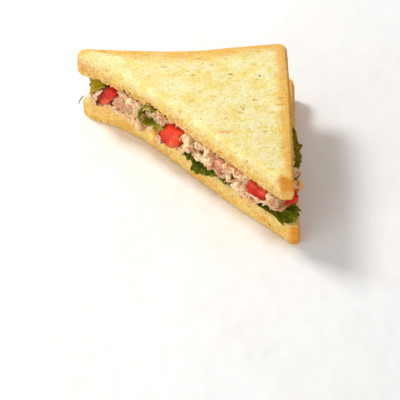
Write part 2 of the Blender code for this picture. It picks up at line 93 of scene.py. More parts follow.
def shuffled(cells: Array, seed: int) -> Array:
    """Gives each whole-numbered cell of space its own number from 0 to 1.

    The cell's coordinates are multiplied by large odd numbers, added and mixed twice.

    Args:
        cells: Whole-numbered coordinates, with three in the last axis.
        seed: Number of the draw.

    Returns:
        One number for each cell.
    """
    whole = cells.astype(np.int64)
    mixed = whole[..., 0] * 374761393 + whole[..., 1] * 668265263 + whole[..., 2] * 2147483629
    mixed = mixed + seed * 1274126177
    mixed = ((mixed ^ (mixed >> 13)) * 1103515245) & 0xFFFFFFFF
    mixed = ((mixed ^ (mixed >> 15)) * 2246822519) & 0xFFFFFFFF
    return ((mixed ^ (mixed >> 16)) & 0xFFFFFF) / 0x1000000


def noise(points: Array, pitch: float, seed: int = 0) -> Array:
    """Smooth noise: random numbers on a lattice, blended with a cubic ease.

    Args:
        points: Places, with three coordinates in the last axis.
        pitch: Distance between the lattice's points.
        seed: Number of the draw.

    Returns:
        Noise from -1 to 1 at each place.
    """
    spot = points / pitch
    cell = np.floor(spot)
    near = spot - cell
    near = near * near * (3 - 2 * near)
    total = np.zeros(points.shape[:-1])
    for corner in np.ndindex(2, 2, 2):
        weight = np.prod(np.where(corner, near, 1 - near), axis=-1)
        total += weight * shuffled(cell + corner, seed)
    return 2 * total - 1


def rough(points: Array, pitch: float, layers: int = 3, seed: int = 0) -> Array:
    """Noise summed over layers, each with half the pitch and half the height of the last.

    Args:
        points: Places, with three coordinates in the last axis.
        pitch: Pitch of the first layer.
        layers: Number of layers.
        seed: Number of the first draw.

    Returns:
        Noise from about -1 to 1 at each place.
    """
    total = np.zeros(points.shape[:-1])
    for layer in range(layers):
        total += noise(points, pitch / 2**layer, seed + layer) / 2**layer
    return total / (2 - 2.0 ** (1 - layers))


def pores(points: Array, pitch: float, share: float, seed: int) -> Array:
    """Depth of scattered round pores.

    Each cell of a lattice may hold one pore of random place and size. Its depth falls
    from 1 in the middle to 0 at the rim, and the deepest pore at a place counts.

    Args:
        points: Places, with three coordinates in the last axis.
        pitch: Size of a cell. A pore is 0.15 to 0.5 of it in radius.
        share: Share of the cells that hold a pore.
        seed: Number of the draw.

    Returns:
        Depth from 0 to 1 at each place.
    """
    spot = points / pitch
    home = np.floor(spot)
    depth = np.zeros(points.shape[:-1])
    for step in np.ndindex(3, 3, 3):
        cell = home + np.array(step) - 1
        middle = cell + np.stack([shuffled(cell, seed + axis) for axis in range(3)], axis=-1)
        radius = 0.15 + 0.35 * shuffled(cell, seed + 3)
        away = np.linalg.norm(spot - middle, axis=-1) / radius
        there = shuffled(cell, seed + 4) < share
        depth = np.maximum(depth, there * ease(1.0, 0.45, away))
    return depth


def on_cut(along: Array, inset: Array, height: Array) -> Array:
    """A point by its place along the cut, its depth behind the cut and its height.

    Args:
        along: Distance from the cut's start.
        inset: Distance in from the knife's path.
        height: Height over the floor.

    Returns:
        Points, with three coordinates in the last axis.
    """
    along, inset, height = np.broadcast_arrays(along, inset, height)
    flat = CUT_START + along[..., None] * ALONG - inset[..., None] * OUTWARD
    return np.concatenate([flat, height[..., None]], axis=-1)


def by_cut(along: float, inset: float, height: float) -> Triple:
    """A place given by the cut."""
    return tuple(on_cut(np.array(along), np.array(inset), np.array(height)))


# ---------------------------------------------------------------- heights of the slices


# Each as (place along the cut, depth behind it, height, spread).
FOOT_BUMPS = ((68.0, 2.0, 1.7, 13.0), (96.0, 3.0, 1.2, 14.0), (CUT_LENGTH, 4.0, -1.9, 20.0))
HEAD_BUMPS = ((30.0, 34.0, -0.8, 22.0), (CUT_LENGTH, 4.0, -0.7, 20.0))
LOWER_BUMPS = ((72.5, 88.6, 2.4, 20.0),)
CROWN_RISE, CROWN_REACH = 0.9, 80.0  # rise in the middle, and the distance at which it is gone


def bumps(flat: Array, places: Table) -> Array:
    """Sum of round rises by the cut, each a bell over its middle.

    Args:
        flat: Places on the plan.
        places: Rises, as (along the cut, depth behind it, height, spread).

    Returns:
        Height at each place.
    """
    total = np.zeros(flat.shape[:-1])
    for along, inset, height, spread in places:
        middle = CUT_START + along * ALONG - inset * OUTWARD
        total += height * hill(np.linalg.norm(flat - middle, axis=-1), spread)
    return total


def crown(flat: Array) -> Array:
    """Rise of the upper slice, greatest in the middle and less with the square of the distance."""
    return CROWN_RISE * (1 - (np.linalg.norm(flat - INCENTRE, axis=-1) / CROWN_REACH) ** 2)


def upper_foot(flat: Array) -> Array:
    """Height of the upper slice's underside over places on the plan."""
    return UPPER_FOOT - 0.4 + crown(flat) + bumps(flat, FOOT_BUMPS)


def upper_head(flat: Array) -> Array:
    """Height of the upper slice's top, with slow waves in it."""
    swell = 0.25 * np.sin(flat[..., 0] / 9.0 + flat[..., 1] / 14.0)
    return HEIGHT + crown(flat) + bumps(flat, HEAD_BUMPS) + swell


def lower_head(flat: Array) -> Array:
    """Height of the lower slice's top, with shallow dents in it."""
    dent = 0.35 * np.sin(flat[..., 0] / 11.0) * np.cos(flat[..., 1] / 13.0)
    return LOWER_TOP + bumps(flat, LOWER_BUMPS) + dent


def lower_foot(flat: Array) -> Array:
    """Height of the flat base."""
    return np.zeros(flat.shape[:-1])


# ---------------------------------------------------------------- surfaces


def grid_quads(rows: int, columns: int, ring: bool) -> Array:
    """Quads of a grid whose points are numbered row by row.

    Args:
        rows: Number of rows.
        columns: Number of points in a row.
        ring: Whether the last point of a row joins the first.

    Returns:
        Four point numbers for each quad.
    """
    row = np.arange(rows - 1)[:, None] * columns
    here = np.arange(columns if ring else columns - 1)[None, :]
    after = (here + 1) % columns
    quads = np.stack([row + here, row + after, row + columns + after, row + columns + here], axis=-1)
    return quads.reshape(-1, 4)


def capped(rings: int, columns: int) -> list[Array]:
    """Faces of a stack of rings that a fan closes at either end.

    The two points of the fans are numbered after the rings', the low one first.

    Args:
        rings: Number of rings.
        columns: Number of points in a ring.

    Returns:
        The quads between the rings, the low fan and the high fan.
    """
    here = np.arange(columns)
    after = (here + 1) % columns
    last = (rings - 1) * columns
    low = np.stack([np.full(columns, rings * columns), after, here], axis=1)
    high = np.stack([np.full(columns, rings * columns + 1), last + here, last + after], axis=1)
    return [grid_quads(rings, columns, True), low, high]


def repeated(faces: list[Array], size: int, count: int) -> list[Array]:
    """Faces of several copies of a shape, whose points are numbered on from copy to copy.

    Args:
        faces: Faces of the shape.
        size: Number of its points.
        count: Number of copies.

    Returns:
        Faces of all the copies.
    """
    starts = np.arange(count)[:, None, None] * size
    return [(corners + starts).reshape(-1, corners.shape[1]) for corners in faces]


@dataclass
class Surface:
    """Points in millimetres on the plan, faces of three or four corners, and marks on the points."""

    points: Array
    faces: list[Array]
    marks: dict[str, Array] = field(default_factory=dict)

    def normals(self) -> Array:
        """The outward direction at each point: the sum of its faces' cross products, made unit.

        Returns:
            One direction for each point.
        """
        total = np.zeros_like(self.points)
        for faces in self.faces:
            corners = self.points[faces]
            cross = np.cross(corners[:, 2] - corners[:, 0], corners[:, -1] - corners[:, 1])
            for corner in faces.T:
                for axis in range(3):
                    total[:, axis] += np.bincount(corner, cross[:, axis], len(total))
        return total / np.maximum(np.linalg.norm(total, axis=1, keepdims=True), 1e-12)

    def raised(self, distance: Array) -> Surface:
        """The same surface with each point moved outwards by its own distance."""
        return Surface(self.points + self.normals() * distance[:, None], self.faces, self.marks)

    def relaxed(self, steps: int) -> Surface:
        """The same surface with each point drawn halfway to the middle of its neighbours.

        Args:
            steps: How many times the points are moved.

        Returns:
            The smoother surface.
        """
        edges = [np.stack([f, np.roll(f, -1, axis=1)], axis=-1).reshape(-1, 2) for f in self.faces]
        pairs = np.concatenate(edges)
        starts, ends = np.concatenate([pairs, pairs[:, ::-1]]).T
        count = np.maximum(np.bincount(starts, minlength=len(self.points)), 1)[:, None]
        points = self.points
        for _ in range(steps):
            sums = [np.bincount(starts, axis[ends], len(points)) for axis in points.T]
            points = points + 0.5 * (np.stack(sums, axis=1) / count - points)
        return Surface(points, self.faces, self.marks)

    @staticmethod
    def joined(parts: list[Surface]) -> Surface:
        """One surface of several that have the same marks.

        Args:
            parts: The surfaces.

        Returns:
            The joined surface.
        """
        starts = np.cumsum([0] + [len(part.points) for part in parts[:-1]])
        faces = [f + start for part, start in zip(parts, starts) for f in part.faces]
        marks = {name: np.concatenate([part.marks[name] for part in parts]) for name in parts[0].marks}
        return Surface(np.concatenate([part.points for part in parts]), faces, marks)

    def mesh(self, name: str) -> bpy.types.Mesh:
        """A Blender mesh of the surface, in metres in the frame.

        Args:
            name: Name of the mesh.

        Returns:
            The mesh, with a number attribute for each mark.
        """
        corners = np.concatenate([faces.ravel() for faces in self.faces])
        totals = np.concatenate([np.full(len(faces), faces.shape[1]) for faces in self.faces])
        made = bpy.data.meshes.new(name)
        made.vertices.add(len(self.points))
        made.loops.add(len(corners))
        made.polygons.add(len(totals))
        places = (self.points - PLAN_ZERO) * MM
        made.vertices.foreach_set("co", places.astype(np.float32).ravel())
        made.loops.foreach_set("vertex_index", corners.astype(np.int32))
        made.polygons.foreach_set("loop_start", (np.cumsum(totals) - totals).astype(np.int32))
        made.update(calc_edges=True)
        for mark, values in self.marks.items():
            attribute = made.attributes.new(mark, "FLOAT", "POINT")
            attribute.data.foreach_set("value", values.astype(np.float32))
        made.shade_smooth()
        return made


def ring_stack(rings: Array, foot: Array, head: Array, marks: dict[str, Array]) -> Surface:
    """A closed surface through rings, with a single point at either end.

    Args:
        rings: Points, by ring, then counter-clockwise round it.
        foot: The point that closes the first ring.
        head: The point that closes the last ring.
        marks: Numbers by ring and place, and taken from the nearest ring at the ends.

    Returns:
        The surface, its faces outwards where the rings climb.
    """
    points = np.concatenate([rings.reshape(-1, 3), [foot, head]])
    spread = {
        name: np.concatenate([values.ravel(), [values[0].mean(), values[-1].mean()]])
        for name, values in marks.items()
    }
    return Surface(points, capped(*rings.shape[:2]), spread)


def placed(name: str, data: bpy.types.ID) -> bpy.types.Object:
    """Adds an object to the scene.

    Args:
        name: Name of the object.
        data: Its mesh, lamp or camera.

    Returns:
        The object, at the origin.
    """
    made = bpy.data.objects.new(name, data)
    bpy.context.scene.collection.objects.link(made)
    return made


def leaf_solid(middle: Array, thickness: Array, marks: dict[str, Array]) -> Surface:
    """A closed leaf from its middle sheet: each side lies half the thickness off it.

    Args:
        middle: Points of the sheet, by row and column.
        thickness: Thickness at each point.
        marks: Numbers by row and column, the same on both sides.

    Returns:
        The closed surface.
    """
    rows, columns = middle.shape[:2]
    sheet = Surface(middle.reshape(-1, 3), [grid_quads(rows, columns, False)])
    offset = sheet.normals() * thickness.reshape(-1, 1) / 2
    count = rows * columns
    index = np.arange(count).reshape(rows, columns)
    edge = np.concatenate([index[0, :-1], index[:-1, -1], index[-1, :0:-1], index[:0:-1, 0]])
    after = np.roll(edge, -1)
    wall = np.stack([after, edge, edge + count, after + count], axis=1)
    points = np.concatenate([sheet.points + offset, sheet.points - offset])
    faces = [sheet.faces[0], sheet.faces[0][:, ::-1] + count, wall]
    return Surface(points, faces, {name: np.tile(values.ravel(), 2) for name, values in marks.items()})


def rounded_cube(steps: int, squareness: float) -> Surface:
    """A cube with rounded edges: points of a gridded cube divided by their p-norm.

    Args:
        steps: Grid steps along an edge.
        squareness: The norm's power: 2 gives a ball, and more comes closer to a cube.

    Returns:
        The surface, reaching from -1 to 1.
    """
    line = np.tan(np.linspace(-math.pi / 4, math.pi / 4, steps + 1))
    across, up = np.meshgrid(line, line, indexing="xy")
    flat = np.stack([across, up, np.ones_like(up)], axis=-1).reshape(-1, 3)
    turns = [(0, 1, 2), (2, 0, 1), (1, 2, 0)]
    sides = [flat[:, turn] for turn in turns] + [-flat[:, turn] for turn in turns]
    quads = grid_quads(steps + 1, steps + 1, False)
    faces = [quads + n * len(flat) if n < 3 else quads[:, ::-1] + n * len(flat) for n in range(6)]
    points, index = np.unique(np.round(np.concatenate(sides), 6), axis=0, return_inverse=True)
    points = points / np.sum(np.abs(points) ** squareness, axis=1, keepdims=True) ** (1 / squareness)
    return Surface(points, [index.reshape(-1)[np.concatenate(faces)]])


def solid_of(node: str) -> Surface:
    """A merged copy of a node's triangles: corners at the same place become one point.

    Args:
        node: Name of the node.

    Returns:
        Its surface, without marks.
    """
    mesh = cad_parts[node].data
    mesh.calc_loop_triangles()
    corners = np.empty(len(mesh.vertices) * 3, np.float32)
    mesh.vertices.foreach_get("co", corners)
    triangles = np.empty(len(mesh.loop_triangles) * 3, np.int32)
    mesh.loop_triangles.foreach_get("vertices", triangles)
    rounded = np.round(corners.reshape(-1, 3).astype(float) / MM, 4)
    points, index = np.unique(rounded, axis=0, return_inverse=True)
    return Surface(points + PLAN_ZERO, [index.reshape(-1)[triangles.reshape(-1, 3)]])


def fused(surface: Surface, grain: float) -> Surface:
    """One skin over overlapping shells, by a voxel remesh.

    Args:
        surface: Shells that may overlap.
        grain: Size of a voxel.

    Returns:
        The skin, without marks.
    """
    shells = placed("fusing", surface.mesh("fusing"))
    remesh = shells.modifiers.new("skin", "REMESH")
    remesh.mode = "VOXEL"
    remesh.voxel_size = grain * MM
    graph = bpy.context.evaluated_depsgraph_get()
    mesh = shells.evaluated_get(graph).to_mesh()
    points = np.empty(len(mesh.vertices) * 3, np.float32)
    mesh.vertices.foreach_get("co", points)
    faces = np.empty(len(mesh.polygons) * 4, np.int32)
    mesh.loops.foreach_get("vertex_index", faces)
    made = Surface(points.reshape(-1, 3).astype(float) / MM + PLAN_ZERO, [faces.reshape(-1, 4)])
    bpy.data.objects.remove(shells)
    return made


# ---------------------------------------------------------------- shader nodes


class Value:
    """A number, vector or colour in a shader tree. Arithmetic on it adds Math nodes."""

    def __init__(self, tree: Shader, socket: bpy.types.NodeSocket) -> None:
        """Keeps the tree and the output socket that the value comes from.

        Args:
            tree: The tree that new nodes go to.
            socket: The output socket.
        """
        self.tree = tree
        self.socket = socket

    def _math(self, kind: str, first: Value | float, second: Value | float) -> Value:
        """A Math node on two values."""
        return self.tree.node("ShaderNodeMath", {"operation": kind}, {0: first, 1: second})

    def __add__(self, other: Value | float) -> Value:
        """Sum."""
        return self._math("ADD", self, other)

    def __radd__(self, other: float) -> Value:
        """Sum, with the number first."""
        return self._math("ADD", other, self)

    def __sub__(self, other: Value | float) -> Value:
        """Difference."""
        return self._math("SUBTRACT", self, other)

    def __rsub__(self, other: float) -> Value:
        """Difference, with the number first."""
        return self._math("SUBTRACT", other, self)

    def __mul__(self, other: Value | float) -> Value:
        """Product."""
        return self._math("MULTIPLY", self, other)

    def __rmul__(self, other: float) -> Value:
        """Product, with the number first."""
        return self._math("MULTIPLY", other, self)

    def clamped(self) -> Value:
        """The value held between 0 and 1."""
        return self.tree.node("ShaderNodeClamp", {}, {"Value": self})

    def between(self, low: float, high: float) -> Value:
        """A smooth step from 0 at low to 1 at high.

        Args:
            low: Value at which the step starts.
            high: Value at which it ends.

        Returns:
            The step's height.
        """
        inputs = {"Value": self, "From Min": low, "From Max": high}
        return self.tree.node("ShaderNodeMapRange", {"interpolation_type": "SMOOTHSTEP"}, inputs)


class Shader:
    """A material's node tree, with its one Principled surface."""

    def __init__(self, name: str) -> None:
        """Starts a material with a Principled surface.

        Args:
            name: Name of the material.
        """
        self.material = bpy.data.materials.new(name)
        self.material.use_nodes = True
        self.nodes = self.material.node_tree.nodes
        self.links = self.material.node_tree.links
        self.surface = self.nodes["Principled BSDF"]

    def node(
        self, kind: str, settings: dict[str, object], inputs: dict[int | str, object], output: int = 0
    ) -> Value:
        """Adds a node.

        Args:
            kind: The node's type.
            settings: Its own properties.
            inputs: Values or links of its input sockets, by name or number.
            output: Number of the output socket to give back.

        Returns:
            The output as a value.
        """
        made = self.nodes.new(kind)
        for key, setting in settings.items():
            setattr(made, key, setting)
        for key, value in inputs.items():
            self.feed(made.inputs[key], value)
        return Value(self, made.outputs[output])

    def feed(self, socket: bpy.types.NodeSocket, value: object) -> None:
        """Links a value to an input socket, or sets it.

        Args:
            socket: The input socket.
            value: A value of this tree, a number, or a colour.
        """
        if isinstance(value, Value):
            self.links.new(value.socket, socket)
        elif isinstance(value, tuple) and socket.type == "RGBA":
            socket.default_value = (*value, 1.0)
        else:
            socket.default_value = value

    def mark(self, name: str) -> Value:
        """A number attribute of the mesh."""
        return self.node("ShaderNodeAttribute", {"attribute_name": name}, {}, output=2)

    def place(self, stretch: Triple = UNSTRETCHED) -> Value:
        """Object coordinates in millimetres, stretched along the axes.

        Args:
            stretch: Factor along each axis.

        Returns:
            The coordinates.
        """
        here = self.node("ShaderNodeTexCoord", {}, {}, output=3)
        scale = tuple(factor / MM for factor in stretch)
        return self.node("ShaderNodeMapping", {}, {"Vector": here, "Scale": scale})

    def grain(self, pitch: float, detail: float = 3.0, stretch: Triple = UNSTRETCHED) -> Value:
        """Noise from 0 to 1 in object space.

        Args:
            pitch: Size of its features in millimetres.
            detail: Number of finer layers.
            stretch: Factor on the coordinates along each axis.

        Returns:
            The noise.
        """
        inputs = {"Vector": self.place(stretch), "Scale": 1.0 / pitch, "Detail": detail, "Roughness": 0.6}
        return self.node("ShaderNodeTexNoise", {}, inputs)

    def cells(self, pitch: float, stretch: Triple = UNSTRETCHED) -> Value:
        """Distance to the nearest of scattered points, in cells.

        Args:
            pitch: Size of a cell in millimetres.
            stretch: Factor on the coordinates along each axis.

        Returns:
            The distance.
        """
        return self.node("ShaderNodeTexVoronoi", {}, {"Vector": self.place(stretch), "Scale": 1.0 / pitch})

    def mix(self, share: Value | float, first: Value | Colour, second: Value | Colour) -> Value:
        """A colour between two.

        Args:
            share: Share of the second colour.
            first: Colour at 0.
            second: Colour at 1.

        Returns:
            The mixed colour.
        """
        inputs = {0: share, 6: first, 7: second}
        return self.node("ShaderNodeMix", {"data_type": "RGBA"}, inputs, output=2)

    def layers(self, base: Colour, *coats: tuple[Value | float, Colour]) -> Value:
        """A base colour with other colours laid over it in turn.

        Args:
            base: The colour underneath.
            coats: Each a share and a colour.

        Returns:
            The resulting colour.
        """
        colour: Value | Colour = base
        for share, coat in coats:
            colour = self.mix(share, colour, coat)
        return colour

    def bump(self, height: Value, distance: float) -> None:
        """Bends the surface's normal by a height.

        Args:
            height: Height from 0 to 1.
            distance: What 1 stands for, in millimetres.
        """
        normal = self.node("ShaderNodeBump", {}, {"Height": height, "Distance": distance * MM})
        self.feed(self.surface.inputs["Normal"], normal)

    def set(self, **inputs: object) -> None:
        """Feeds the surface's inputs, their names with underscores for spaces."""
        for name, value in inputs.items():
            self.feed(self.surface.inputs[name.replace("_", " ")], value)


# ---------------------------------------------------------------- finishes


@dataclass(frozen=True)
class Finish:
    """A material of the sandwich, made once and then shared."""

    name: str

    @cache
    def material(self) -> bpy.types.Material:
        """The material, built on the first call and the same one after that."""
        shader = Shader(self.name)
        self.dress(shader)
        return shader.material

    def dress(self, shader: Shader) -> None:
        """Builds the node tree.

        Args:
            shader: The tree to build in.
        """
        raise NotImplementedError


@dataclass(frozen=True)
class BreadFinish(Finish):
    """Pale yellow crumb with ochre streaks, toasted patches, a golden crust and painted shade in the pits.

    It reads the marks warm, band, crust, bake and toast, and the mark of painted shade in the pits.
    """

    crumb: Colour = (0.95, 0.76, 0.26)
    cream: Colour = (0.97, 0.89, 0.50)
    gold: Colour = (0.92, 0.62, 0.095)
    peach: Colour = (0.93, 0.53, 0.125)
    # ochre and brown also colour the pits, as painted shade
    ochre_and_pit_shade: Colour = (0.74, 0.44, 0.06)
    brown_and_pit_shade: Colour = (0.36, 0.19, 0.03)
    crust: Colour = (0.92, 0.53, 0.085)
    baked: Colour = (0.86, 0.34, 0.045)
    dark: Colour = (0.46, 0.17, 0.025)

    def dress(self, shader: Shader) -> None:
        """Lays streaks, pits and crust over the crumb.

        Args:
            shader: The tree to build in.
        """
        marks = ("warm", "band", "crust", "bake", "pit_shade", "toast")
        warm, band, crust, bake, pit_shade, toast = (shader.mark(name) for name in marks)
        blotch = shader.grain(9.0, 4.0)
        fine = shader.grain(0.8, 4.0, (0.45, 1.0, 1.0))
        streak = shader.grain(1.7, 3.0, (0.28, 1.0, 1.0)).between(0.57, 0.68)
        dash = shader.cells(2.1, (0.4, 1.0, 1.0)).between(0.24, 0.08)
        torn = shader.grain(1.5, 4.0).between(0.50, 0.62)
        baked, dark = (bake.between(0.15, 0.7), self.baked), (bake.between(0.8, 1.5), self.dark)
        shell = shader.layers(self.crust, baked, dark)
        colour = shader.layers(
            self.crumb,
            (blotch.between(0.34, 0.62) * 0.95, self.cream),
            ((warm * (0.30 + blotch.between(0.36, 0.62))).clamped(), self.peach),
            (warm * torn * 0.5, self.ochre_and_pit_shade),
            (fine.between(0.50, 0.68) * 0.45, self.gold),
            (streak * 0.7, self.gold),
            (dash * blotch.between(0.42, 0.54) * 0.7, self.ochre_and_pit_shade),
            ((band * (0.60 + streak + 0.35 * blotch)).clamped() * 0.9, self.crust),
            (band.between(0.5, 1.0) * (0.16 + 0.30 * fine), self.baked),
            # Painted shade in the pits: ochre, and brown in the deepest.
            (pit_shade * (0.1 + fine * 0.6), self.ochre_and_pit_shade),
            (pit_shade.between(0.6, 1.0) * 0.22 + pit_shade.between(1.0, 1.5) * 0.5, self.brown_and_pit_shade),
            ((crust * 1.7 + blotch + 0.5 * fine - 1.2).clamped(), shell),
            (crust * torn * 0.18, self.crumb),
            ((toast * (0.35 + fine)).clamped(), self.baked),
            (toast.between(0.0, -1.0) * 0.8, self.crumb),
            ((crust + band).clamped() * dash * 0.35, self.brown_and_pit_shade),
        )
        shader.set(Base_Color=colour, Roughness=0.85, Specular_IOR_Level=0.06)
        shader.set(Subsurface_Weight=0.12, Subsurface_Radius=(1.0, 0.6, 0.25), Subsurface_Scale=0.6 * MM)
        shader.bump(fine * 0.8 + torn * 0.3 + shader.grain(0.28, 2.0) * 0.3, 0.4)


@dataclass(frozen=True)
class TunaFinish(Finish):
    """Creamy pink flakes, with painted shade in the gaps and holes and painted light on the ridges. It reads
    marks for the painted shade, the cream and the tint (mauve to creamy).
    """

    flesh: Colour = (0.95, 0.56, 0.28)
    creamy: Colour = (1.00, 0.80, 0.49)
    pink: Colour = (0.78, 0.35, 0.19)
    mauve: Colour = (0.58, 0.30, 0.17)
    # gap and hole are painted shade: brown in the gaps, darker in the holes
    gap_shade: Colour = (0.46, 0.21, 0.06)
    hole: Colour = (0.24, 0.10, 0.02)

    def dress(self, shader: Shader) -> None:
        """Lays cream, with painted light, over the ridges and painted shade, brown to dark, into the gaps and
        holes.

        Args:
            shader: The tree to build in.
        """
        deep, cream, tint = (shader.mark(name) for name in ("deep", "cream", "tint"))
        patch = shader.grain(5.0, 3.0)
        cloud = shader.grain(2.6, 3.0)
        fibre = shader.grain(0.9, 4.0)
        colour = shader.layers(
            self.flesh,
            (patch.between(0.52, 0.40) * 0.7, self.pink),
            # Cream, with painted light on the ridges of the core.
            ((cream * 0.5 + patch.between(0.46, 0.60) + tint).clamped() * 0.9, self.creamy),
            ((cloud.between(0.54, 0.66) - tint).clamped() * 0.7, self.mauve),
            # Painted shade between the fibres, where the salad lies deep, and darker in its holes.
            (fibre.between(0.56, 0.74) * 0.3, self.gap_shade),
            (deep.between(0.0, 0.7) * 0.85, self.gap_shade),
            (deep.between(0.55, 1.0) * 0.9, self.hole),
        )
        shader.set(Base_Color=colour, Roughness=0.30 + 0.35 * patch, Specular_IOR_Level=0.2)
        shader.set(Subsurface_Weight=0.2, Subsurface_Radius=(1.0, 0.5, 0.25), Subsurface_Scale=0.7 * MM)
        shader.bump(fibre * 0.8 + shader.grain(0.35, 2.0) * 0.3, 0.3)


@dataclass(frozen=True)
class FleshFinish(Finish):
    """A juicy piece: body, lighter flesh, skin, painted light on its lit side and painted shade on its shaded
    side. It reads the marks light, dark and skin.
    """

    # light is the lighter flesh, for the streaks and for painted light; dark is painted shade
    light: Colour
    body: Colour
    dark: Colour
    skin: Colour
    gloss: float
    streaks: float

    def dress(self, shader: Shader) -> None:
        """Lays lighter streaks, painted light, skin and painted shade over the body.

        Args:
            shader: The tree to build in.
        """
        light, dark, skin = (shader.mark(mark) for mark in ("light", "dark", "skin"))
        streak = shader.grain(1.6, 3.0, (1.0, 1.0, self.streaks))
        spot = shader.grain(0.6, 3.0)
        colour = shader.layers(
            self.body,
            (streak.between(0.52, 0.74) * 0.35, self.light),
            # Painted light on the lit side.
            ((light * (0.3 + streak)).clamped(), self.light),
            (skin, self.skin),
            # Painted shade on the shaded side.
            ((dark * (0.6 + spot * 0.6)).clamped(), self.dark),
        )
        shader.set(Base_Color=colour, Roughness=0.14 + 0.22 * spot, Specular_IOR_Level=self.gloss)
        shader.set(Subsurface_Weight=0.2, Subsurface_Radius=(1.0, 0.25, 0.1), Subsurface_Scale=0.8 * MM)
        shader.bump(streak * 0.6 + spot * 0.4, 0.3)


@dataclass(frozen=True)
class LeafFinish(Finish):
    """A leaf, paler on its veins and at its frill. It reads the marks vein, frill and shade."""

    blade: Colour
    patch: Colour
    pale: Colour
    shaded: Colour = (0.030, 0.024, 0.0004)

    def dress(self, shader: Shader) -> None:
        """Lays patches, veins and frill over the blade, and lets some light through.

        Args:
            shader: The tree to build in.
        """
        vein, frill, shade = (shader.mark(name) for name in ("vein", "frill", "shade"))
        cloud = shader.grain(2.6, 3.0)
        web = shader.cells(0.9).between(0.15, 0.5)
        colour = shader.layers(
            self.blade,
            (cloud.between(0.44, 0.62) * 0.75, self.patch),
            (web * 0.18, self.patch),
            (vein * 0.45, self.pale),
            (frill * cloud.between(0.36, 0.56), self.patch),
            (frill * cloud.between(0.53, 0.62) * 0.6, self.pale),
            (shade, self.shaded),
        )
        shader.set(Base_Color=colour, Roughness=0.34 + 0.25 * cloud, Specular_IOR_Level=0.05)
        shader.bump(web * 0.4 + cloud * 0.5 + vein * 0.8, 0.25)
        through = shader.node("ShaderNodeBsdfTranslucent", {}, {"Color": colour})
        surface = Value(shader, shader.surface.outputs[0])
        both = shader.node("ShaderNodeMixShader", {}, {0: 0.2, 1: surface, 2: through})
        shader.feed(shader.nodes["Material Output"].inputs["Surface"], both)


@dataclass(frozen=True)
class PatchyFinish(Finish):
    """Small bits and the floor: two colours in patches, with a fine bump."""

    colour: Colour
    darker: Colour
    roughness: float
    pitch: float

    def dress(self, shader: Shader) -> None:
        """Lays the darker colour over the lighter one in patches.

        Args:
            shader: The tree to build in.
        """
        patch = shader.grain(self.pitch, 3.0)
        shader.set(Base_Color=shader.mix(patch.between(0.4, 0.65), self.colour, self.darker))
        shader.set(Roughness=self.roughness - 0.1 + 0.2 * patch, Specular_IOR_Level=0.15)
        shader.bump(patch, self.pitch * 0.05)


BREAD_FINISH = BreadFinish("toasted_bread")
TUNA_FINISH = TunaFinish("dressed_tuna")
TOMATO_FINISH = FleshFinish(
    "tomato_flesh",
    light=(0.95, 0.14, 0.045),
    body=(0.78, 0.032, 0.010),
    dark=(0.22, 0.008, 0.001),
    skin=(0.55, 0.012, 0.005),
    gloss=0.10,
    streaks=0.4,
)
DEEP_TOMATO_FINISH = FleshFinish(
    "deep_tomato_flesh",
    light=(0.86, 0.15, 0.06),
    body=(0.66, 0.024, 0.012),
    dark=(0.20, 0.008, 0.001),
    skin=(0.45, 0.010, 0.005),
    gloss=0.10,
    streaks=0.4,
)
ONION_FINISH = FleshFinish(
    "onion_flesh",
    light=(0.90, 0.52, 0.34),
    body=(0.66, 0.25, 0.15),
    dark=(0.34, 0.09, 0.04),
    skin=(0.44, 0.09, 0.07),
    gloss=0.12,
    streaks=0.25,
)
CORN_FINISH = FleshFinish(
    "corn_flesh",
    light=(1.00, 0.66, 0.20),
    body=(0.94, 0.50, 0.08),
    dark=(0.74, 0.26, 0.015),
    skin=(0.70, 0.50, 0.09),
    gloss=0.18,
    streaks=1.0,
)
TIP_GREEN = LeafFinish("lettuce_tip", (0.085, 0.115, 0.001), (0.20, 0.22, 0.003), (0.46, 0.44, 0.04))
CURL_GREEN = LeafFinish("lettuce_curl", (0.20, 0.19, 0.003), (0.40, 0.38, 0.02), (0.62, 0.62, 0.10))
DEEP_GREEN = LeafFinish("lettuce_deep", (0.052, 0.068, 0.001), (0.13, 0.155, 0.003), (0.42, 0.40, 0.03))
MID_GREEN = LeafFinish("lettuce_green", (0.13, 0.14, 0.002), (0.34, 0.31, 0.006), (0.64, 0.56, 0.08))
PALE_GREEN = LeafFinish("lettuce_pale", (0.34, 0.30, 0.03), (0.52, 0.48, 0.09), (0.72, 0.68, 0.22))
OLIVE = LeafFinish("lettuce_olive", (0.42, 0.30, 0.004), (0.62, 0.44, 0.008), (0.78, 0.66, 0.12))
CRUMB_FINISH = PatchyFinish("crumbs", (0.93, 0.66, 0.28), (0.80, 0.44, 0.12), 0.85, 1.2)
PEPPER_FINISH = PatchyFinish("pepper", (0.06, 0.04, 0.012), (0.02, 0.012, 0.004), 0.7, 0.5)
FLOOR_FINISH = PatchyFinish("floor", (0.97, 0.96, 0.94), (0.96, 0.945, 0.92), 0.6, 60.0)


def show(surface: Surface, name: str, finish: Finish, nodes: tuple[str, ...] = ()) -> None:
    """Adds a surface to the scene as a piece of the sandwich.

    Args:
        surface: The surface.
        name: Name of the piece.
        finish: Its finish.
        nodes: Solids that it stands for.
    """
    made = placed(name, surface.mesh(name))
    made.data.materials.append(finish.material())
    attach(made, BODY)
    if nodes:
        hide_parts(*nodes)
    log.info("%s: %d points, %d faces", name, len(surface.points), sum(len(f) for f in surface.faces))


# ---------------------------------------------------------------- bread


class Side(Enum):
    """The kinds of side that a slice has, each with its share of crust."""

    CUT = 0.0
    CRUST = 1.0


@dataclass(frozen=True)
class Spot:
    """A toasted patch on the bread, or a pit in it: an ellipsoid that colours or sinks what lies in it, and
    gives a pit painted shade.

    A negative toast keeps the crust there pale.
    """

    place: Triple
    reach: Triple
    toast: float = 0.0
    sink: float = 0.0


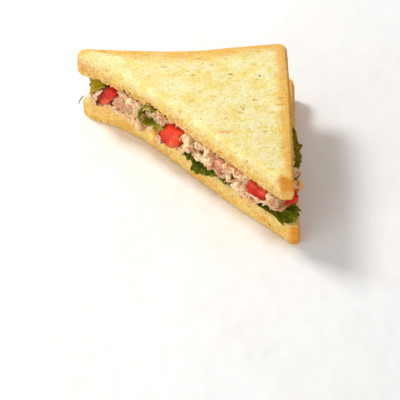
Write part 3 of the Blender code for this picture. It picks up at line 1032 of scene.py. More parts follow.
# Side profile of a slice: shares of its height, and how far the crust and the cut lie in there.
RIM_SHARES = (0.0, 0.04, 0.12, 0.25, 0.4, 0.7, 0.82, 0.9, 0.97, 1.0)
RIM_INSETS = (1.0, 0.62, 0.3, 0.1, 0.0, 0.0, 0.2, 0.6, 1.15, 1.7)
CUT_INSETS = (0.5, 0.25, 0.1, 0.0, 0.0, 0.0, 0.1, 0.3, 0.7, 1.1)
CRUMB_WARMTH = 0.42  # crumbs hang only where the cut is warmer than this
CRUMB_SIZES = (0.18, 0.62)  # least and most half size
SPECK_SIZES = (0.3, 0.65)


@dataclass(frozen=True)
class Slice:
    """Half a slice of bread, with its sides drawn in by bows and its corners rounded.

    Its sides are the left point's blunt end, the cut, the front point's blunt end, the right
    and the back, and bands gives the width of the golden band along each. Undercut is how far
    the cut's foot lies behind its head, and flare how far the foot spreads at the left point,
    as a share of the way from the middle. Warmth and frays give the colour and the roughness of
    the cut at its foot and at its head, and a nick in the foot is (along the cut, width, rise).
    Rows are the numbers of rings below, on the side and on top.
    """

    name: str
    node: str
    left: tuple[float, float]
    corner: tuple[float, float]
    front: tuple[float, float]
    left_width: float
    front_width: float
    back_bow: float
    right_bow: float
    cut_bow: float
    undercut: float
    corner_round: float
    foot: Height
    head: Height
    warmth: tuple[float, float]
    bands: tuple[float, float, float, float, float]
    spots: tuple[Spot, ...]
    seed: int
    frays: tuple[float, float]
    crumbs: int
    nicks: Table = ()
    specks: tuple[Triple, ...] = ()
    flare: float = 0.0
    left_round: float = 1.6
    front_round: float = 1.6
    cut_round: float = 1.6
    step: float = 0.62
    rows: tuple[int, int, int] = (10, 36, 98)

    def outline(self) -> tuple[Array, Array, Array, Array]:
        """The outline, counter-clockwise from the left point.

        Each side is a straight run plus a bow, 4t(1 - t) on a crust and
        256/27 t(1 - t)^3 on the cut. Each corner is a quadratic curve.

        Returns:
            Points on the plan, share of crust, distance from the middle to the point's side,
            and width of the golden band along that side.
        """
        left, front, corner = (np.array(p) for p in (self.left, self.front, self.corner))
        corners = [left, left - [0, self.left_width], front - [self.front_width, 0], front, corner]
        rounds = [self.left_round, self.cut_round, self.cut_round, self.front_round, self.corner_round]
        bows = [0.0, self.cut_bow, 0.0, self.right_bow, self.back_bow]
        sides = [Side.CRUST, Side.CUT, Side.CRUST, Side.CRUST, Side.CRUST]
        ways = [corners[(i + 1) % 5] - corners[i] for i in range(5)]
        ways = [way / np.linalg.norm(way) for way in ways]
        away = [INCENTRE - corner for corner in corners]
        reaches = [abs(way[0] * to[1] - way[1] * to[0]) for way, to in zip(ways, away)]
        facts = np.array([[side.value for side in sides], reaches, self.bands]).T
        points, told = [], []
        for i in range(5):
            after = (i + 1) % 5
            start = corners[i] + ways[i] * rounds[i]
            end = corners[after] - ways[i] * rounds[after]
            steps = max(2, round(float(np.linalg.norm(end - start)) / self.step))
            t = np.linspace(0, 1, steps + 1)
            bow = 256 / 27 * t * (1 - t) ** 3 if sides[i] is Side.CUT else 4 * t * (1 - t)
            inward = np.array([-ways[i][1], ways[i][0]])
            points.append(start + np.outer(t, end - start) + np.outer(bows[i] * bow, inward))
            told.append(np.tile(facts[i], (steps + 1, 1)))
            steps = max(3, round(2.2 * rounds[after] / self.step))  # a corner is about 2.2 roundings long
            t = np.arange(1, steps)[:, None] / steps
            following = corners[after] + ways[after] * rounds[after]
            points.append(end * (1 - t) ** 2 + corners[after] * 2 * t * (1 - t) + following * t**2)
            told.append(facts[i] * (1 - t) + facts[after] * t)
        crust, reach, band = np.concatenate(told).T
        return np.concatenate(points), crust, reach, band

    def rings(self) -> tuple[Array, Array]:
        """The rings from the middle of the underside round the rim to the middle of the top.

        The height of a ring on the side is t - 0.35 sin(2 pi t) / (2 pi), which is denser at the rims.

        Returns:
            For each ring, its share of the way out and its height share.
        """
        below, side, above = self.rows
        t = np.linspace(0, 1, side)
        height = t - 0.35 * np.sin(2 * math.pi * t) / (2 * math.pi)
        inner, outer = np.linspace(0.03, 1, below + 1)[:-1], np.linspace(1, 0.015, above + 1)[1:]
        out = np.concatenate([inner, np.ones(side), outer])
        return out[:, None], np.concatenate([np.zeros(below), height, np.ones(above)])[:, None]

    def surface(self) -> Surface:
        """The slice: rings of the outline drawn in to the middle, between foot and head.

        On the side the rings follow the profile. The cut's foot is frayed by noise and lifted at
        the nicks, and pits and crumb are then pressed in. The golden band is where the distance
        to the side, in band widths and with noise added, falls below about 1.

        Returns:
            The closed surface, with the marks warm, band, crust, bake and toast, and the mark of painted
            shade in the pits.
        """
        edge, crust, reach, band = self.outline()
        out, height = self.rings()
        rim, worn = (np.interp(height, RIM_SHARES, insets) for insets in (RIM_INSETS, CUT_INSETS))
        rounding = crust * rim + (1 - crust) * worn
        behind = (1 - crust) * self.undercut * (1 - height)
        flared = self.flare * (1 - height) * ease(20.0, 3.0, np.linalg.norm(edge - self.left, axis=1))
        share = out * (1 - rounding / reach - behind / INRADIUS + flared)
        flat = INCENTRE + (edge - INCENTRE) * share[..., None]
        foot, head = self.foot(flat), self.head(flat)
        points = np.concatenate([flat, (foot + height * (head - foot))[..., None]], axis=-1)
        rim_only = (out == 1) * (1 - crust)
        fray = rough(points * [1, 1, 0.3], 2.4, 3, self.seed + 50)
        loose = self.frays[0] * ease(0.3, 0.0, height) + self.frays[1] * ease(0.7, 1.0, height)
        lifted = rim_only * loose * fray
        for place, width, rise in self.nicks:
            near = hill((flat - CUT_START) @ ALONG - place, width)
            lifted = lifted + rise * near * rim_only * ease(0.4, 0.0, height)
        points[..., 2] = np.maximum(points[..., 2] + lifted, 0.1)
        side = (out == 1) * ease(0.0, 0.06, height) * ease(1.0, 0.84, height)
        to_edge = (1 - out) * reach
        wander = 0.32 * noise(points * [0.35, 1.0, 1.0], 4.0, self.seed)
        golden = ease(1.25, 0.1, to_edge / np.maximum(band, 0.1) + wander) * (height > 0.5) * crust
        beside = (self.front[0] - RIM_INSETS[-1] - flat[..., 0]) / self.bands[3] + wander
        warmth = np.clip(self.warmth[0] + (self.warmth[1] - self.warmth[0]) * height, 0, 1)
        marks = {
            "cut": side * (1 - crust),
            "crust": side * crust,
            "band": np.maximum(golden, ease(1.25, 0.1, beside) * (height == 1)),
            "warm": rim_only * warmth,
            "edge": ease(1.8, 0.0, to_edge) + 0 * crust,
        }
        middle = INCENTRE[None, :]
        ends = [np.append(INCENTRE, end(middle)[0]) for end in (self.foot, self.head)]
        return self.pitted(ring_stack(points, ends[0], ends[1], marks))

    def pitted(self, surface: Surface) -> Surface:
        """Presses pits into the faces, roughens the cut, and marks painted shade in the pits.

        The depth is a sum of wide and narrow pores, deeper and closer together on the cut; slow noise;
        the spots; and, along a face's edge, a drop that rounds it.

        Args:
            surface: The smooth slice.

        Returns:
            The slice with its relief.
        """
        places = surface.points
        cut, crust, edge, warm = (surface.marks[name] for name in ("cut", "crust", "edge", "warm"))
        wide = pores(places * [0.45, 1.0, 1.0], 2.6, 0.20, self.seed)
        narrow = pores(places * [0.6, 1.0, 1.0], 1.5, 0.40, self.seed + 10)
        torn = pores(places * [0.8, 0.8, 1.2], 2.6, 0.8, self.seed + 20)
        slow = rough(places, 6.0, 3, self.seed + 30)
        small = rough(places, 1.4, 2, self.seed + 40)
        face = (1 - cut) * (1 - crust)
        ragged = cut * (0.70 + 0.75 * warm)
        depth = face * (0.32 * wide + 0.20 * narrow - 0.12 * slow - 0.10 * small)
        depth += ragged * (0.85 * torn + 0.40 * narrow - 0.45 * slow - 0.40 * small)
        depth += crust * (0.40 * narrow - 0.30 * slow - 0.26 * small) + 0.16 * edge * (1 - cut)
        toast = np.zeros(len(places))
        # Painted shade in the pores, on the torn cut and in the spots' sinks.
        pit_shade = np.maximum(np.maximum(wide * face, torn * cut * (0.25 + 0.6 * warm)), narrow * 0.4)
        for spot in self.spots:
            away = np.linalg.norm((places - spot.place) / spot.reach, axis=1) + 0.35 * small
            here = ease(1.25, 0.4, away)
            toast = toast + spot.toast * here
            pit_shade = np.maximum(pit_shade, 1.7 * spot.sink * here)
            depth += 0.7 * spot.sink * here
        bake = ease(-50.0, 55.0, places[:, 0]) * 0.7 + 0.4 * ease(-44.0, -52.0, places[:, 0]) + 0.3 * slow
        bake += 0.45 * max(self.warmth[1], 0.0)
        marks = {
            "warm": warm,
            "band": surface.marks["band"],
            "crust": crust,
            "bake": bake,
            "pit_shade": pit_shade,
            "toast": np.clip(toast, -1.0, 1.0),
        }
        return Surface(places, surface.faces, marks).raised(-depth)

    def loose(self, surface: Surface) -> Surface:
        """Crumbs that hang on the cut where it is warm: small uneven balls on points picked at random.

        Args:
            surface: The slice.

        Returns:
            All the crumbs.
        """
        draw = np.random.default_rng(self.seed)
        warm = np.flatnonzero(surface.marks["warm"] > CRUMB_WARMTH)
        chosen = draw.choice(warm, self.crumbs, replace=False)
        sizes = draw.uniform(*CRUMB_SIZES, (self.crumbs, 3))
        return copies(rounded_cube(2, 2.6), np.eye(3) * sizes[:, None, :], surface.points[chosen])

    def dots(self, surface: Surface) -> Surface:
        """Dark specks on the points of the surface nearest to the named places.

        Args:
            surface: The slice.

        Returns:
            All the specks.
        """
        away = np.linalg.norm(surface.points[None] - np.array(self.specks)[:, None], axis=2)
        sizes = np.random.default_rng(self.seed).uniform(*SPECK_SIZES, (len(self.specks), 3))
        nearest = surface.points[away.argmin(axis=1)]
        return copies(rounded_cube(3, 3.0), np.eye(3) * sizes[:, None, :], nearest)

    def build(self) -> None:
        """Adds the slice, its crumbs and its specks."""
        surface = self.surface()
        show(surface, self.name, BREAD_FINISH, (self.node,))
        show(self.loose(surface), self.name + "_crumbs", CRUMB_FINISH)
        if self.specks:
            show(self.dots(surface), self.name + "_specks", PEPPER_FINISH)


# Places of the upper slice's specks, as (along the cut, height).
SPECK_PLACES = (
    *((30.9, 36.4), (30.8, 34.6), (32.0, 33.0), (31.4, 35.6), (36.2, 35.0), (41.5, 34.2)),
    *((62.0, 35.0), (49.8, 36.2), (50.6, 36.6), (56.4, 35.2), (57.0, 35.8), (57.8, 35.0)),
)
UPPER = Slice(
    name="upper_slice",
    node="bread_top",
    left=(-55.2, 55.4),
    corner=(57.0, 54.8),
    front=(55.2, -52.8),
    left_width=6.0,
    front_width=7.2,
    back_bow=4.0,
    right_bow=-0.5,
    cut_bow=4.2,
    undercut=0.6,
    corner_round=4.0,
    foot=upper_foot,
    head=upper_head,
    warmth=(1.05, -0.25),
    bands=(5.0, 0.1, 3.0, 5.4, 13.0),
    spots=(
        Spot((9.6, 42.3, 46.5), (3.4, 1.1, 3.0), toast=0.8),
        Spot((21.3, -17.9, 46.0), (4.6, 1.5, 3.0), toast=0.7, sink=0.25),
        Spot((46.5, -3.6, 46.0), (2.4, 1.1, 3.0), toast=0.6),
        Spot((48.5, 47.6, 46.0), (2.2, 1.2, 3.0), toast=0.4),
        Spot((-1.4, -0.3, 46.0), (2.2, 1.1, 3.0), toast=0.4, sink=0.35),
        Spot((2.2, -6.2, 46.0), (2.6, 1.0, 3.0), toast=0.4, sink=0.3),
        Spot((26.1, 28.3, 46.0), (2.4, 0.6, 3.0), sink=0.9),
        Spot((6.2, 27.8, 46.0), (2.2, 0.6, 3.0), sink=0.7),
        Spot((41.3, 26.0, 46.0), (0.9, 0.8, 3.0), sink=0.9),
        Spot((31.9, -0.2, 46.0), (0.9, 0.8, 3.0), sink=0.8),
        Spot((16.8, 9.9, 46.0), (2.2, 0.8, 3.0), toast=0.3, sink=0.4),
        Spot((37.9, 7.1, 46.0), (1.5, 0.6, 3.0), sink=0.8),
        Spot(by_cut(19.6, 0.5, 42.6), (1.2, 1.2, 0.8), sink=0.8),
        Spot(by_cut(22.0, 0.5, 39.4), (1.8, 1.8, 0.7), sink=1.0),
        Spot(by_cut(2.7, 0.5, 37.8), (1.2, 1.2, 1.0), sink=0.9),
        Spot(by_cut(66.3, 0.5, 42.9), (3.0, 3.0, 1.6), toast=0.4),
        Spot(by_cut(76.1, 0.5, 47.0), (2.6, 2.6, 1.6), toast=0.5),
        Spot(by_cut(125.1, 0.5, 41.9), (4.0, 4.0, 2.4), toast=0.35),
        Spot(by_cut(112.6, 0.5, 38.4), (4.0, 4.0, 1.6), toast=0.35),
        Spot(by_cut(146.1, 0.5, 46.8), (3.4, 3.4, 3.4), toast=0.45),
        Spot((49.4, -52.4, 42.4), (5.8, 4.0, 3.2), toast=0.75),
        Spot((51.8, -52.8, 34.0), (5.0, 2.6, 3.8), toast=-0.5),
        Spot(by_cut(104.2, 0.5, 36.4), (1.8, 1.8, 1.2), toast=0.9, sink=0.5),
        Spot(by_cut(3.0, 0.5, 38.5), (9.0, 9.0, 7.0), toast=0.4),
        Spot(by_cut(13.0, 0.5, 38.0), (6.0, 6.0, 3.0), toast=0.25),
        Spot((55.8, 21.0, 45.0), (1.6, 2.6, 2.0), toast=0.6),
        Spot((55.6, 4.0, 45.4), (1.4, 3.4, 2.0), toast=0.4),
        Spot((-55.0, 50.5, 40.0), (2.0, 2.6, 3.4), toast=0.5),
    ),
    seed=11,
    frays=(1.3, 0.0),
    crumbs=420,
    nicks=((52.5, 4.0, 2.8), (30.5, 3.0, 1.2), (78.0, 4.0, 1.0), (140.0, 3.0, 0.8)),
    specks=tuple(by_cut(along, 0.0, height) for along, height in SPECK_PLACES),
    flare=0.018,
    left_round=3.4,
    front_round=1.2,
)
LOWER = Slice(
    name="lower_slice",
    node="bread_bottom",
    left=(-54.8, 54.6),
    corner=(61.9, 63.8),
    front=(58.6, -54.0),
    left_width=3.6,
    front_width=5.6,
    back_bow=1.0,
    right_bow=0.5,
    cut_bow=6.2,
    undercut=2.0,
    corner_round=5.0,
    foot=lower_foot,
    head=lower_head,
    warmth=(0.95, 0.6),
    bands=(3.0, 0.1, 3.0, 5.0, 5.0),
    spots=(
        Spot(by_cut(59.9, 0.5, 11.3), (3.0, 3.0, 1.6), toast=0.4),
        Spot(by_cut(69.1, 0.5, 12.9), (2.6, 2.6, 1.6), toast=0.4),
        Spot(by_cut(132.0, 0.5, 6.0), (9.0, 9.0, 3.0), toast=0.4),
    ),
    seed=57,
    frays=(0.2, 0.7),
    crumbs=160,
)


# ---------------------------------------------------------------- copies and strings


AWRY = (0.31, 0.52, 0.79)  # a direction that no path follows, to start its rings from


def tangents(normal: Array, turn: Array) -> tuple[Array, Array]:
    """Two directions along a surface, square to each other, turned about its normal.

    Args:
        normal: Outward directions.
        turn: Angle of the first direction at each place.

    Returns:
        The two directions at each place.
    """
    side = np.cross(normal, [0.0, 0.0, 1.0])
    side /= np.linalg.norm(side, axis=1, keepdims=True)
    up = np.cross(normal, side)
    first = side * np.cos(turn)[:, None] + up * np.sin(turn)[:, None]
    return first, np.cross(normal, first)


def copies(shape: Surface, axes: Array, places: Array) -> Surface:
    """Copies of a shape as one surface.

    Args:
        shape: The shape, reaching from -1 to 1.
        axes: For each copy, what the shape's three axes become.
        places: Middle of each copy.

    Returns:
        All copies, without marks.
    """
    points = np.einsum("mi,kij->kmj", shape.points, axes) + places[:, None, :]
    return Surface(points.reshape(-1, 3), repeated(shape.faces, len(shape.points), len(places)))


def strung(path: tuple[Triple, ...], steps: int) -> Array:
    """Points along a path, straight from knot to knot and as many between any two of them.

    Args:
        path: The knots.
        steps: Number of points.

    Returns:
        The points.
    """
    knots = np.array(path)
    place = np.linspace(0, len(knots) - 1, steps)
    return np.stack([np.interp(place, np.arange(len(knots)), axis) for axis in knots.T], axis=1)


def tubes(paths: Array, radii: Array, sides: int) -> Surface:
    """Closed tubes: rings of points round each step of a path and square to it, with a point at either end.

    Args:
        paths: Points by tube and step.
        radii: Radius by tube and step.
        sides: Points in a ring.

    Returns:
        All tubes, without marks.
    """
    count, steps = radii.shape
    ahead = np.gradient(paths, axis=1)
    ahead /= np.linalg.norm(ahead, axis=2, keepdims=True)
    first = np.cross(ahead, AWRY)
    first /= np.linalg.norm(first, axis=2, keepdims=True)
    second = np.cross(ahead, first)
    turn = 2 * math.pi * np.arange(sides)[:, None] / sides
    ring = first[:, :, None] * np.cos(turn) + second[:, :, None] * np.sin(turn)
    rings = paths[:, :, None] + ring * radii[:, :, None, None]
    points = np.concatenate([rings.reshape(count, -1, 3), paths[:, [0, -1]]], axis=1)
    return Surface(points.reshape(-1, 3), repeated(capped(steps, sides), points.shape[1], count))


def between_slices(points: Array, clear: float) -> Array:
    """The same points with their heights held between the slices.

    Args:
        points: Places, with three coordinates in the last axis.
        clear: How far they stay from both slices.

    Returns:
        The places with their new heights.
    """
    flat = points[..., :2]
    height = np.clip(points[..., 2], lower_head(flat) + clear, upper_foot(flat) - clear)
    return np.concatenate([flat, height[..., None]], axis=-1)


# ---------------------------------------------------------------- tuna salad


SIDE_SLOPE = 0.75  # a direction steeper than this is not on the salad's sides
SIDE_DEPTH = 12.0  # how far from the middle, at least, a place on its sides faces out
CLEAR = 0.4  # how far flakes and lumps stay from the slices
SHRED_CLEAR = 0.7  # how far the middle of a shred stays from them
SHRED_RANGES = ((0.8, 2.6), (0.0, 0.5), (-1.2, 1.2), (0.22, 0.52))  # half length, lift, bend and radius
SHRED_SINK = 0.2  # how deep a shred's ends lie in the core
PEPPER_SIZES = (0.16, 0.42)  # least and most half size
PEPPER_SHAPE = (1.0, 0.8, 0.5)  # a speck's share of it along each of its axes


@dataclass(frozen=True)
class Salad:
    """The tuna salad: its solid with flakes fused on, folded, hollowed and hung with shreds.

    A lump is (x, y, z, half width, half height). A hollow, pressed in and given painted shade, is (along the
    cut, inset, height, radius, depth), and a tint, from mauve at -1 to creamy at 1, is (along the cut, inset,
    height, radius, tint); one tint is a painted highlight.
    The flakes are picked on a coarse skin, and the finished one has the finer grain.
    """

    node: str = "tuna_salad"
    coarse_grain: float = 0.9
    grain: float = 0.53
    flakes: int = 240
    flake_sizes: tuple[tuple[float, float], ...] = ((1.4, 3.4), (0.6, 1.5), (0.35, 0.8))
    shreds: int = 1300
    specks: int = 46
    lumps: Table = (
        (*by_cut(5.0, 1.2, 16.4), 2.4, 1.5),
        (*by_cut(8.6, 0.8, 17.6), 2.2, 1.4),
        (*by_cut(79.0, 1.2, 31.0), 2.6, 2.6),
        (*by_cut(80.2, 1.4, 26.4), 2.4, 2.6),
        (*by_cut(140.4, 3.0, 26.4), 5.0, 4.4),
        (57.0, -27.0, 26.4, 2.8, 1.8),
    )
    hollows: Table = (
        (77.5, 2.0, 21.9, 1.6, 1.6),
        (79.7, 2.0, 19.7, 1.5, 1.6),
        (84.6, 2.0, 29.7, 1.4, 1.6),
        (86.3, 2.0, 25.6, 1.2, 1.6),
        (88.7, 2.0, 27.3, 1.2, 1.6),
        (31.5, 2.0, 20.3, 1.3, 1.6),
        (25.7, 2.0, 20.4, 1.1, 1.6),
        (97.3, 2.0, 21.5, 2.0, 1.6),
        (101.6, 2.0, 20.1, 2.0, 1.6),
        (144.6, 1.0, 31.2, 1.2, 1.6),
        (149.3, 1.0, 31.9, 1.2, 1.6),
        (145.6, 3.4, 27.2, 1.7, 1.6),
        (112.4, 2.0, 24.8, 1.3, 1.6),
        (113.8, 2.0, 20.8, 1.4, 1.6),
        (116.6, 2.0, 20.5, 1.3, 1.6),
        (49.0, 2.0, 34.6, 1.6, 1.6),
        (54.9, 2.0, 33.3, 1.6, 1.6),
        (8.7, 2.0, 20.0, 1.8, 1.6),
        (136.5, 1.0, 17.0, 3.0, 2.4),
        (22.8, 2.0, 27.4, 1.0, 1.2),
        (35.5, 2.0, 24.0, 1.3, 1.5),
        (40.0, 2.0, 20.5, 1.2, 1.4),
        (82.5, 2.0, 23.2, 1.6, 1.8),
        (92.0, 2.0, 24.0, 1.2, 1.5),
        (95.0, 2.0, 29.6, 1.2, 1.4),
        (107.5, 2.0, 27.6, 1.3, 1.6),
        (119.8, 2.0, 26.8, 1.4, 1.6),
        (122.0, 2.0, 19.4, 1.4, 1.6),
        (73.8, 2.0, 24.6, 1.3, 1.6),
    )
    tints_and_highlight: Table = (
        (28.0, 2.0, 24.0, 6.0, -0.8),
        (36.5, 2.0, 29.0, 4.5, 0.4),
        (8.0, 1.0, 21.0, 4.0, 0.6),
        (9.0, 1.0, 17.0, 2.6, -0.6),
        (78.5, 2.0, 29.0, 5.5, 0.9),
        (87.0, 2.0, 22.5, 3.6, -0.7),
        (92.0, 2.0, 27.5, 6.0, 0.9),
        (103.0, 1.0, 24.5, 5.0, -0.9),
        (112.0, 2.0, 26.0, 4.6, 0.5),
        (115.0, 2.0, 20.0, 4.0, -0.8),
        (121.0, 2.0, 25.5, 3.6, -0.4),
        (133.5, 1.0, 20.0, 4.0, 0.7),
        (140.0, 0.5, 27.0, 5.0, -0.8),
        (145.6, 3.4, 26.6, 3.2, -1.0),
        # painted highlight on the upper left of the front lump
        (136.6, 0.5, 29.6, 3.0, 0.8),
    )
    seed: int = 5

    def outer(self, skin: Surface, count: int, seed: int) -> tuple[Array, Array, Array]:
        """Places on the sides of a skin, picked at random.

        Args:
            skin: The skin.
            count: Number of places.
            seed: Number of the draw.

        Returns:
            The places, the outward direction and a random angle at each.
        """
        draw = np.random.default_rng(seed)
        normals = skin.normals()
        middle = np.append(INCENTRE, 0.5 * (LOWER_TOP + UPPER_FOOT))
        outside = np.abs(normals[:, 2]) < SIDE_SLOPE
        outside &= np.sum((skin.points - middle) * normals, axis=1) > SIDE_DEPTH
        chosen = draw.choice(np.flatnonzero(outside), count, replace=False)
        return skin.points[chosen], normals[chosen], draw.uniform(0, 2 * math.pi, count)

    def body(self) -> Surface:
        """The solid, flakes and lumps under one skin.

        A flake is a rounded slab along the surface. Its heights are held between the slices.

        Returns:
            The skin, without marks.
        """
        solid = solid_of(self.node)
        coarse = fused(solid, self.coarse_grain).relaxed(2)
        places, normals, turn = self.outer(coarse, self.flakes, self.seed)
        draw = np.random.default_rng(self.seed + 1)
        sizes = np.stack([draw.uniform(low, high, self.flakes) for low, high in self.flake_sizes], axis=1)
        axes = np.stack([*tangents(normals, turn), normals], axis=1) * sizes[:, :, None]
        flakes = copies(rounded_cube(5, 2.6), axes, places)
        lumps = np.array(self.lumps)
        reach = np.stack([lumps[:, 3], lumps[:, 3], lumps[:, 4]], axis=1)
        mounds = copies(rounded_cube(8, 2.2), np.eye(3) * reach[:, None, :], lumps[:, :3])
        for part in (flakes, mounds):
            part.points = between_slices(part.points, CLEAR)
        return fused(Surface.joined([solid, flakes, mounds]), self.grain).relaxed(2)

    def core(self) -> Surface:
        """The skin with folds, holes and hollows, with painted shade where it lies deep and painted light on
        its ridges.

        A fold is noise with its sign dropped, which has sharp valleys. What counts as deep is how far
        a point lies below the same skin smoothed.

        Returns:
            The surface, with marks for the painted shade, for cream with painted light on the ridges, and for
            tint.
        """
        skin = self.body()
        places = self.lifted(skin.points)
        skin.points = places
        bent = places + 1.4 * np.stack([noise(places, 4.5, 70 + axis) for axis in range(3)], axis=1)
        fold = np.abs(rough(bent, 3.8, 2, 81))
        flake = np.abs(rough(bent * [1.0, 1.0, 1.7], 1.9, 2, 91))
        hole = pores(bent, 3.4, 0.32, 101)
        hollow = np.zeros(len(places))
        pressed = np.zeros(len(places))
        for along, inset, height, radius, depth in self.hollows:
            away = np.linalg.norm(places - by_cut(along, inset, height), axis=1)
            here = ease(1.5, 0.5, away / radius)
            hollow = np.maximum(hollow, here)
            pressed = np.maximum(pressed, depth * here)
        raise_by = 0.75 * ease(0.0, 0.4, fold) + 0.4 * ease(0.0, 0.4, flake) - 0.9 - 0.8 * hole - pressed
        made = skin.raised(raise_by)
        sunk = np.sum((made.relaxed(14).points - made.points) * made.normals(), axis=1)
        # Painted shade where the skin lies deep, in its holes and hollows; cream, as painted light, on its
        # ridges.
        made.marks["deep"] = np.clip(ease(0.08, 0.75, sunk) * 0.9 + 0.45 * hole + 0.9 * hollow, 0.0, 1.0)
        made.marks["cream"] = ease(0.05, -0.40, sunk)
        made.marks["tint"] = self.tinted(made.points)
        return made

    def lifted(self, places: Array) -> Array:
        """Raises the underside off the leaf at the front point.

        What lies there below a floor, which climbs towards the point, goes most of the way up to it.

        Args:
            places: Places on the salad.

        Returns:
            The places, with the underside raised.
        """
        flat = places[:, :2] - CUT_START
        along, outward = flat @ ALONG, flat @ OUTWARD
        under = ease(135.0, 140.0, along) * ease(-11.0, -7.0, outward)
        floor = LOWER_TOP + 9.4 + 2.6 * ease(143.0, 149.0, along)
        rise = 0.92 * under * np.maximum(floor - places[:, 2], 0.0)
        return places + rise[:, None] * [0.0, 0.0, 1.0]

    def tinted(self, places: Array) -> Array:
        """The tint at each place, one named place being a painted highlight: the sum of the named ones, each
        fading out from its middle.

        Args:
            places: Places on the salad.

        Returns:
            The tint, below 0 towards mauve and above 0 towards creamy.
        """
        tint = np.zeros(len(places))
        for along, inset, height, radius, amount in self.tints_and_highlight:
            away = np.linalg.norm(places - by_cut(along, inset, height), axis=1)
            tint += amount * ease(1.4, 0.4, away / radius)
        return tint

    def fibres(self, core: Surface) -> Surface:
        """Shreds on the core: each an arc along the surface that lifts in its middle and bends aside.

        Its points lie at t along the first tangent, 1 - t^2 outwards and t^2 along the second.

        Args:
            core: The surface that they lie on.

        Returns:
            All shreds, with marks for random patches of painted shade, for cream and for tint.
        """
        places, normals, turn = self.outer(core, self.shreds, self.seed + 2)
        first, second = (way[:, None] for way in tangents(normals, turn))
        draw = np.random.default_rng(self.seed + 3)
        draws = (draw.uniform(low, high, self.shreds) for low, high in SHRED_RANGES)
        length, lift, bend, thick = (numbers[:, None, None] for numbers in draws)
        t = np.linspace(-1, 1, 7)[:, None]
        paths = places[:, None] + first * length * t + second * bend * t**2
        paths = paths + normals[:, None] * (lift * (1 - t**2) - SHRED_SINK)
        radii = (thick * np.sqrt(1.02 - t**4))[..., 0]
        made = tubes(between_slices(paths, SHRED_CLEAR), radii, 5)
        made = made.raised(0.12 * noise(made.points, 0.9, 44))
        # Random patches of painted shade on the shreds.
        made.marks["deep"] = 0.2 * ease(0.0, 1.0, noise(made.points, 2.0, 45))
        made.marks["cream"] = ease(-0.4, 0.5, noise(made.points, 3.0, 46))
        made.marks["tint"] = self.tinted(made.points)
        return made

    def pepper(self, core: Surface) -> Surface:
        """Specks of pepper: small uneven slabs that lie on the core.

        Args:
            core: The surface that they lie on.

        Returns:
            All the specks.
        """
        places, normals, turn = self.outer(core, self.specks, self.seed + 4)
        sizes = np.random.default_rng(self.seed + 5).uniform(*PEPPER_SIZES, (self.specks, 3)) * PEPPER_SHAPE
        axes = np.stack([*tangents(normals, turn), normals], axis=1) * sizes[:, :, None]
        return copies(rounded_cube(2, 4.0), axes, places)

    def build(self) -> None:
        """Adds the core, the shreds and the pepper."""
        core = self.core()
        show(core, "tuna_core", TUNA_FINISH, (self.node,))
        show(self.fibres(core), "tuna_shreds", TUNA_FINISH)
        show(self.pepper(core), "pepper_specks", PEPPER_FINISH)


@dataclass(frozen=True)
class Smear:
    """Dressing pressed out along an edge: an uneven string that tapers at its ends."""

    name: str
    path: tuple[Triple, ...]
    radius: float
    steps: int = 40

    def surface(self) -> Surface:
        """The string, its radius swelling and shrinking with noise.

        Returns:
            The closed surface, with marks for random patches of painted shade, for cream and for tint.
        """
        line = strung(self.path, self.steps)
        end = 1 - np.abs(np.linspace(-1, 1, self.steps)) ** 3
        radii = self.radius * (0.25 + 0.75 * end) * (1 + 0.35 * noise(line, 2.0, 61))
        made = tubes(line[None], radii[None], 12)
        made = made.raised(0.3 * rough(made.points, 1.8, 3, 62))
        # Random patches of painted shade on the smear.
        made.marks["deep"] = 0.4 * ease(0.1, 0.7, noise(made.points, 1.6, 63))
        made.marks["cream"] = ease(-0.5, 0.5, noise(made.points, 2.5, 64))
        made.marks["tint"] = 0.4 * made.marks["cream"]
        return made

    def build(self) -> None:
        """Adds the smear."""
        show(self.surface(), self.name, TUNA_FINISH)


SMEARS = (
    Smear(
        "dressing_right",
        (by_cut(119.0, 0.2, 21.0), by_cut(126.0, -0.2, 22.0), by_cut(134.5, -0.1, 22.2)),
        0.6,
    ),
    Smear(
        "dressing_left",
        (
            by_cut(2.6, 0.6, 16.8),
            by_cut(6.6, -0.8, 18.8),
            by_cut(10.6, -1.4, 21.8),
            by_cut(13.6, -1.4, 25.0),
            by_cut(16.4, 0.0, 28.0),
        ),
        1.15,
    ),
)


# ---------------------------------------------------------------- diced pieces


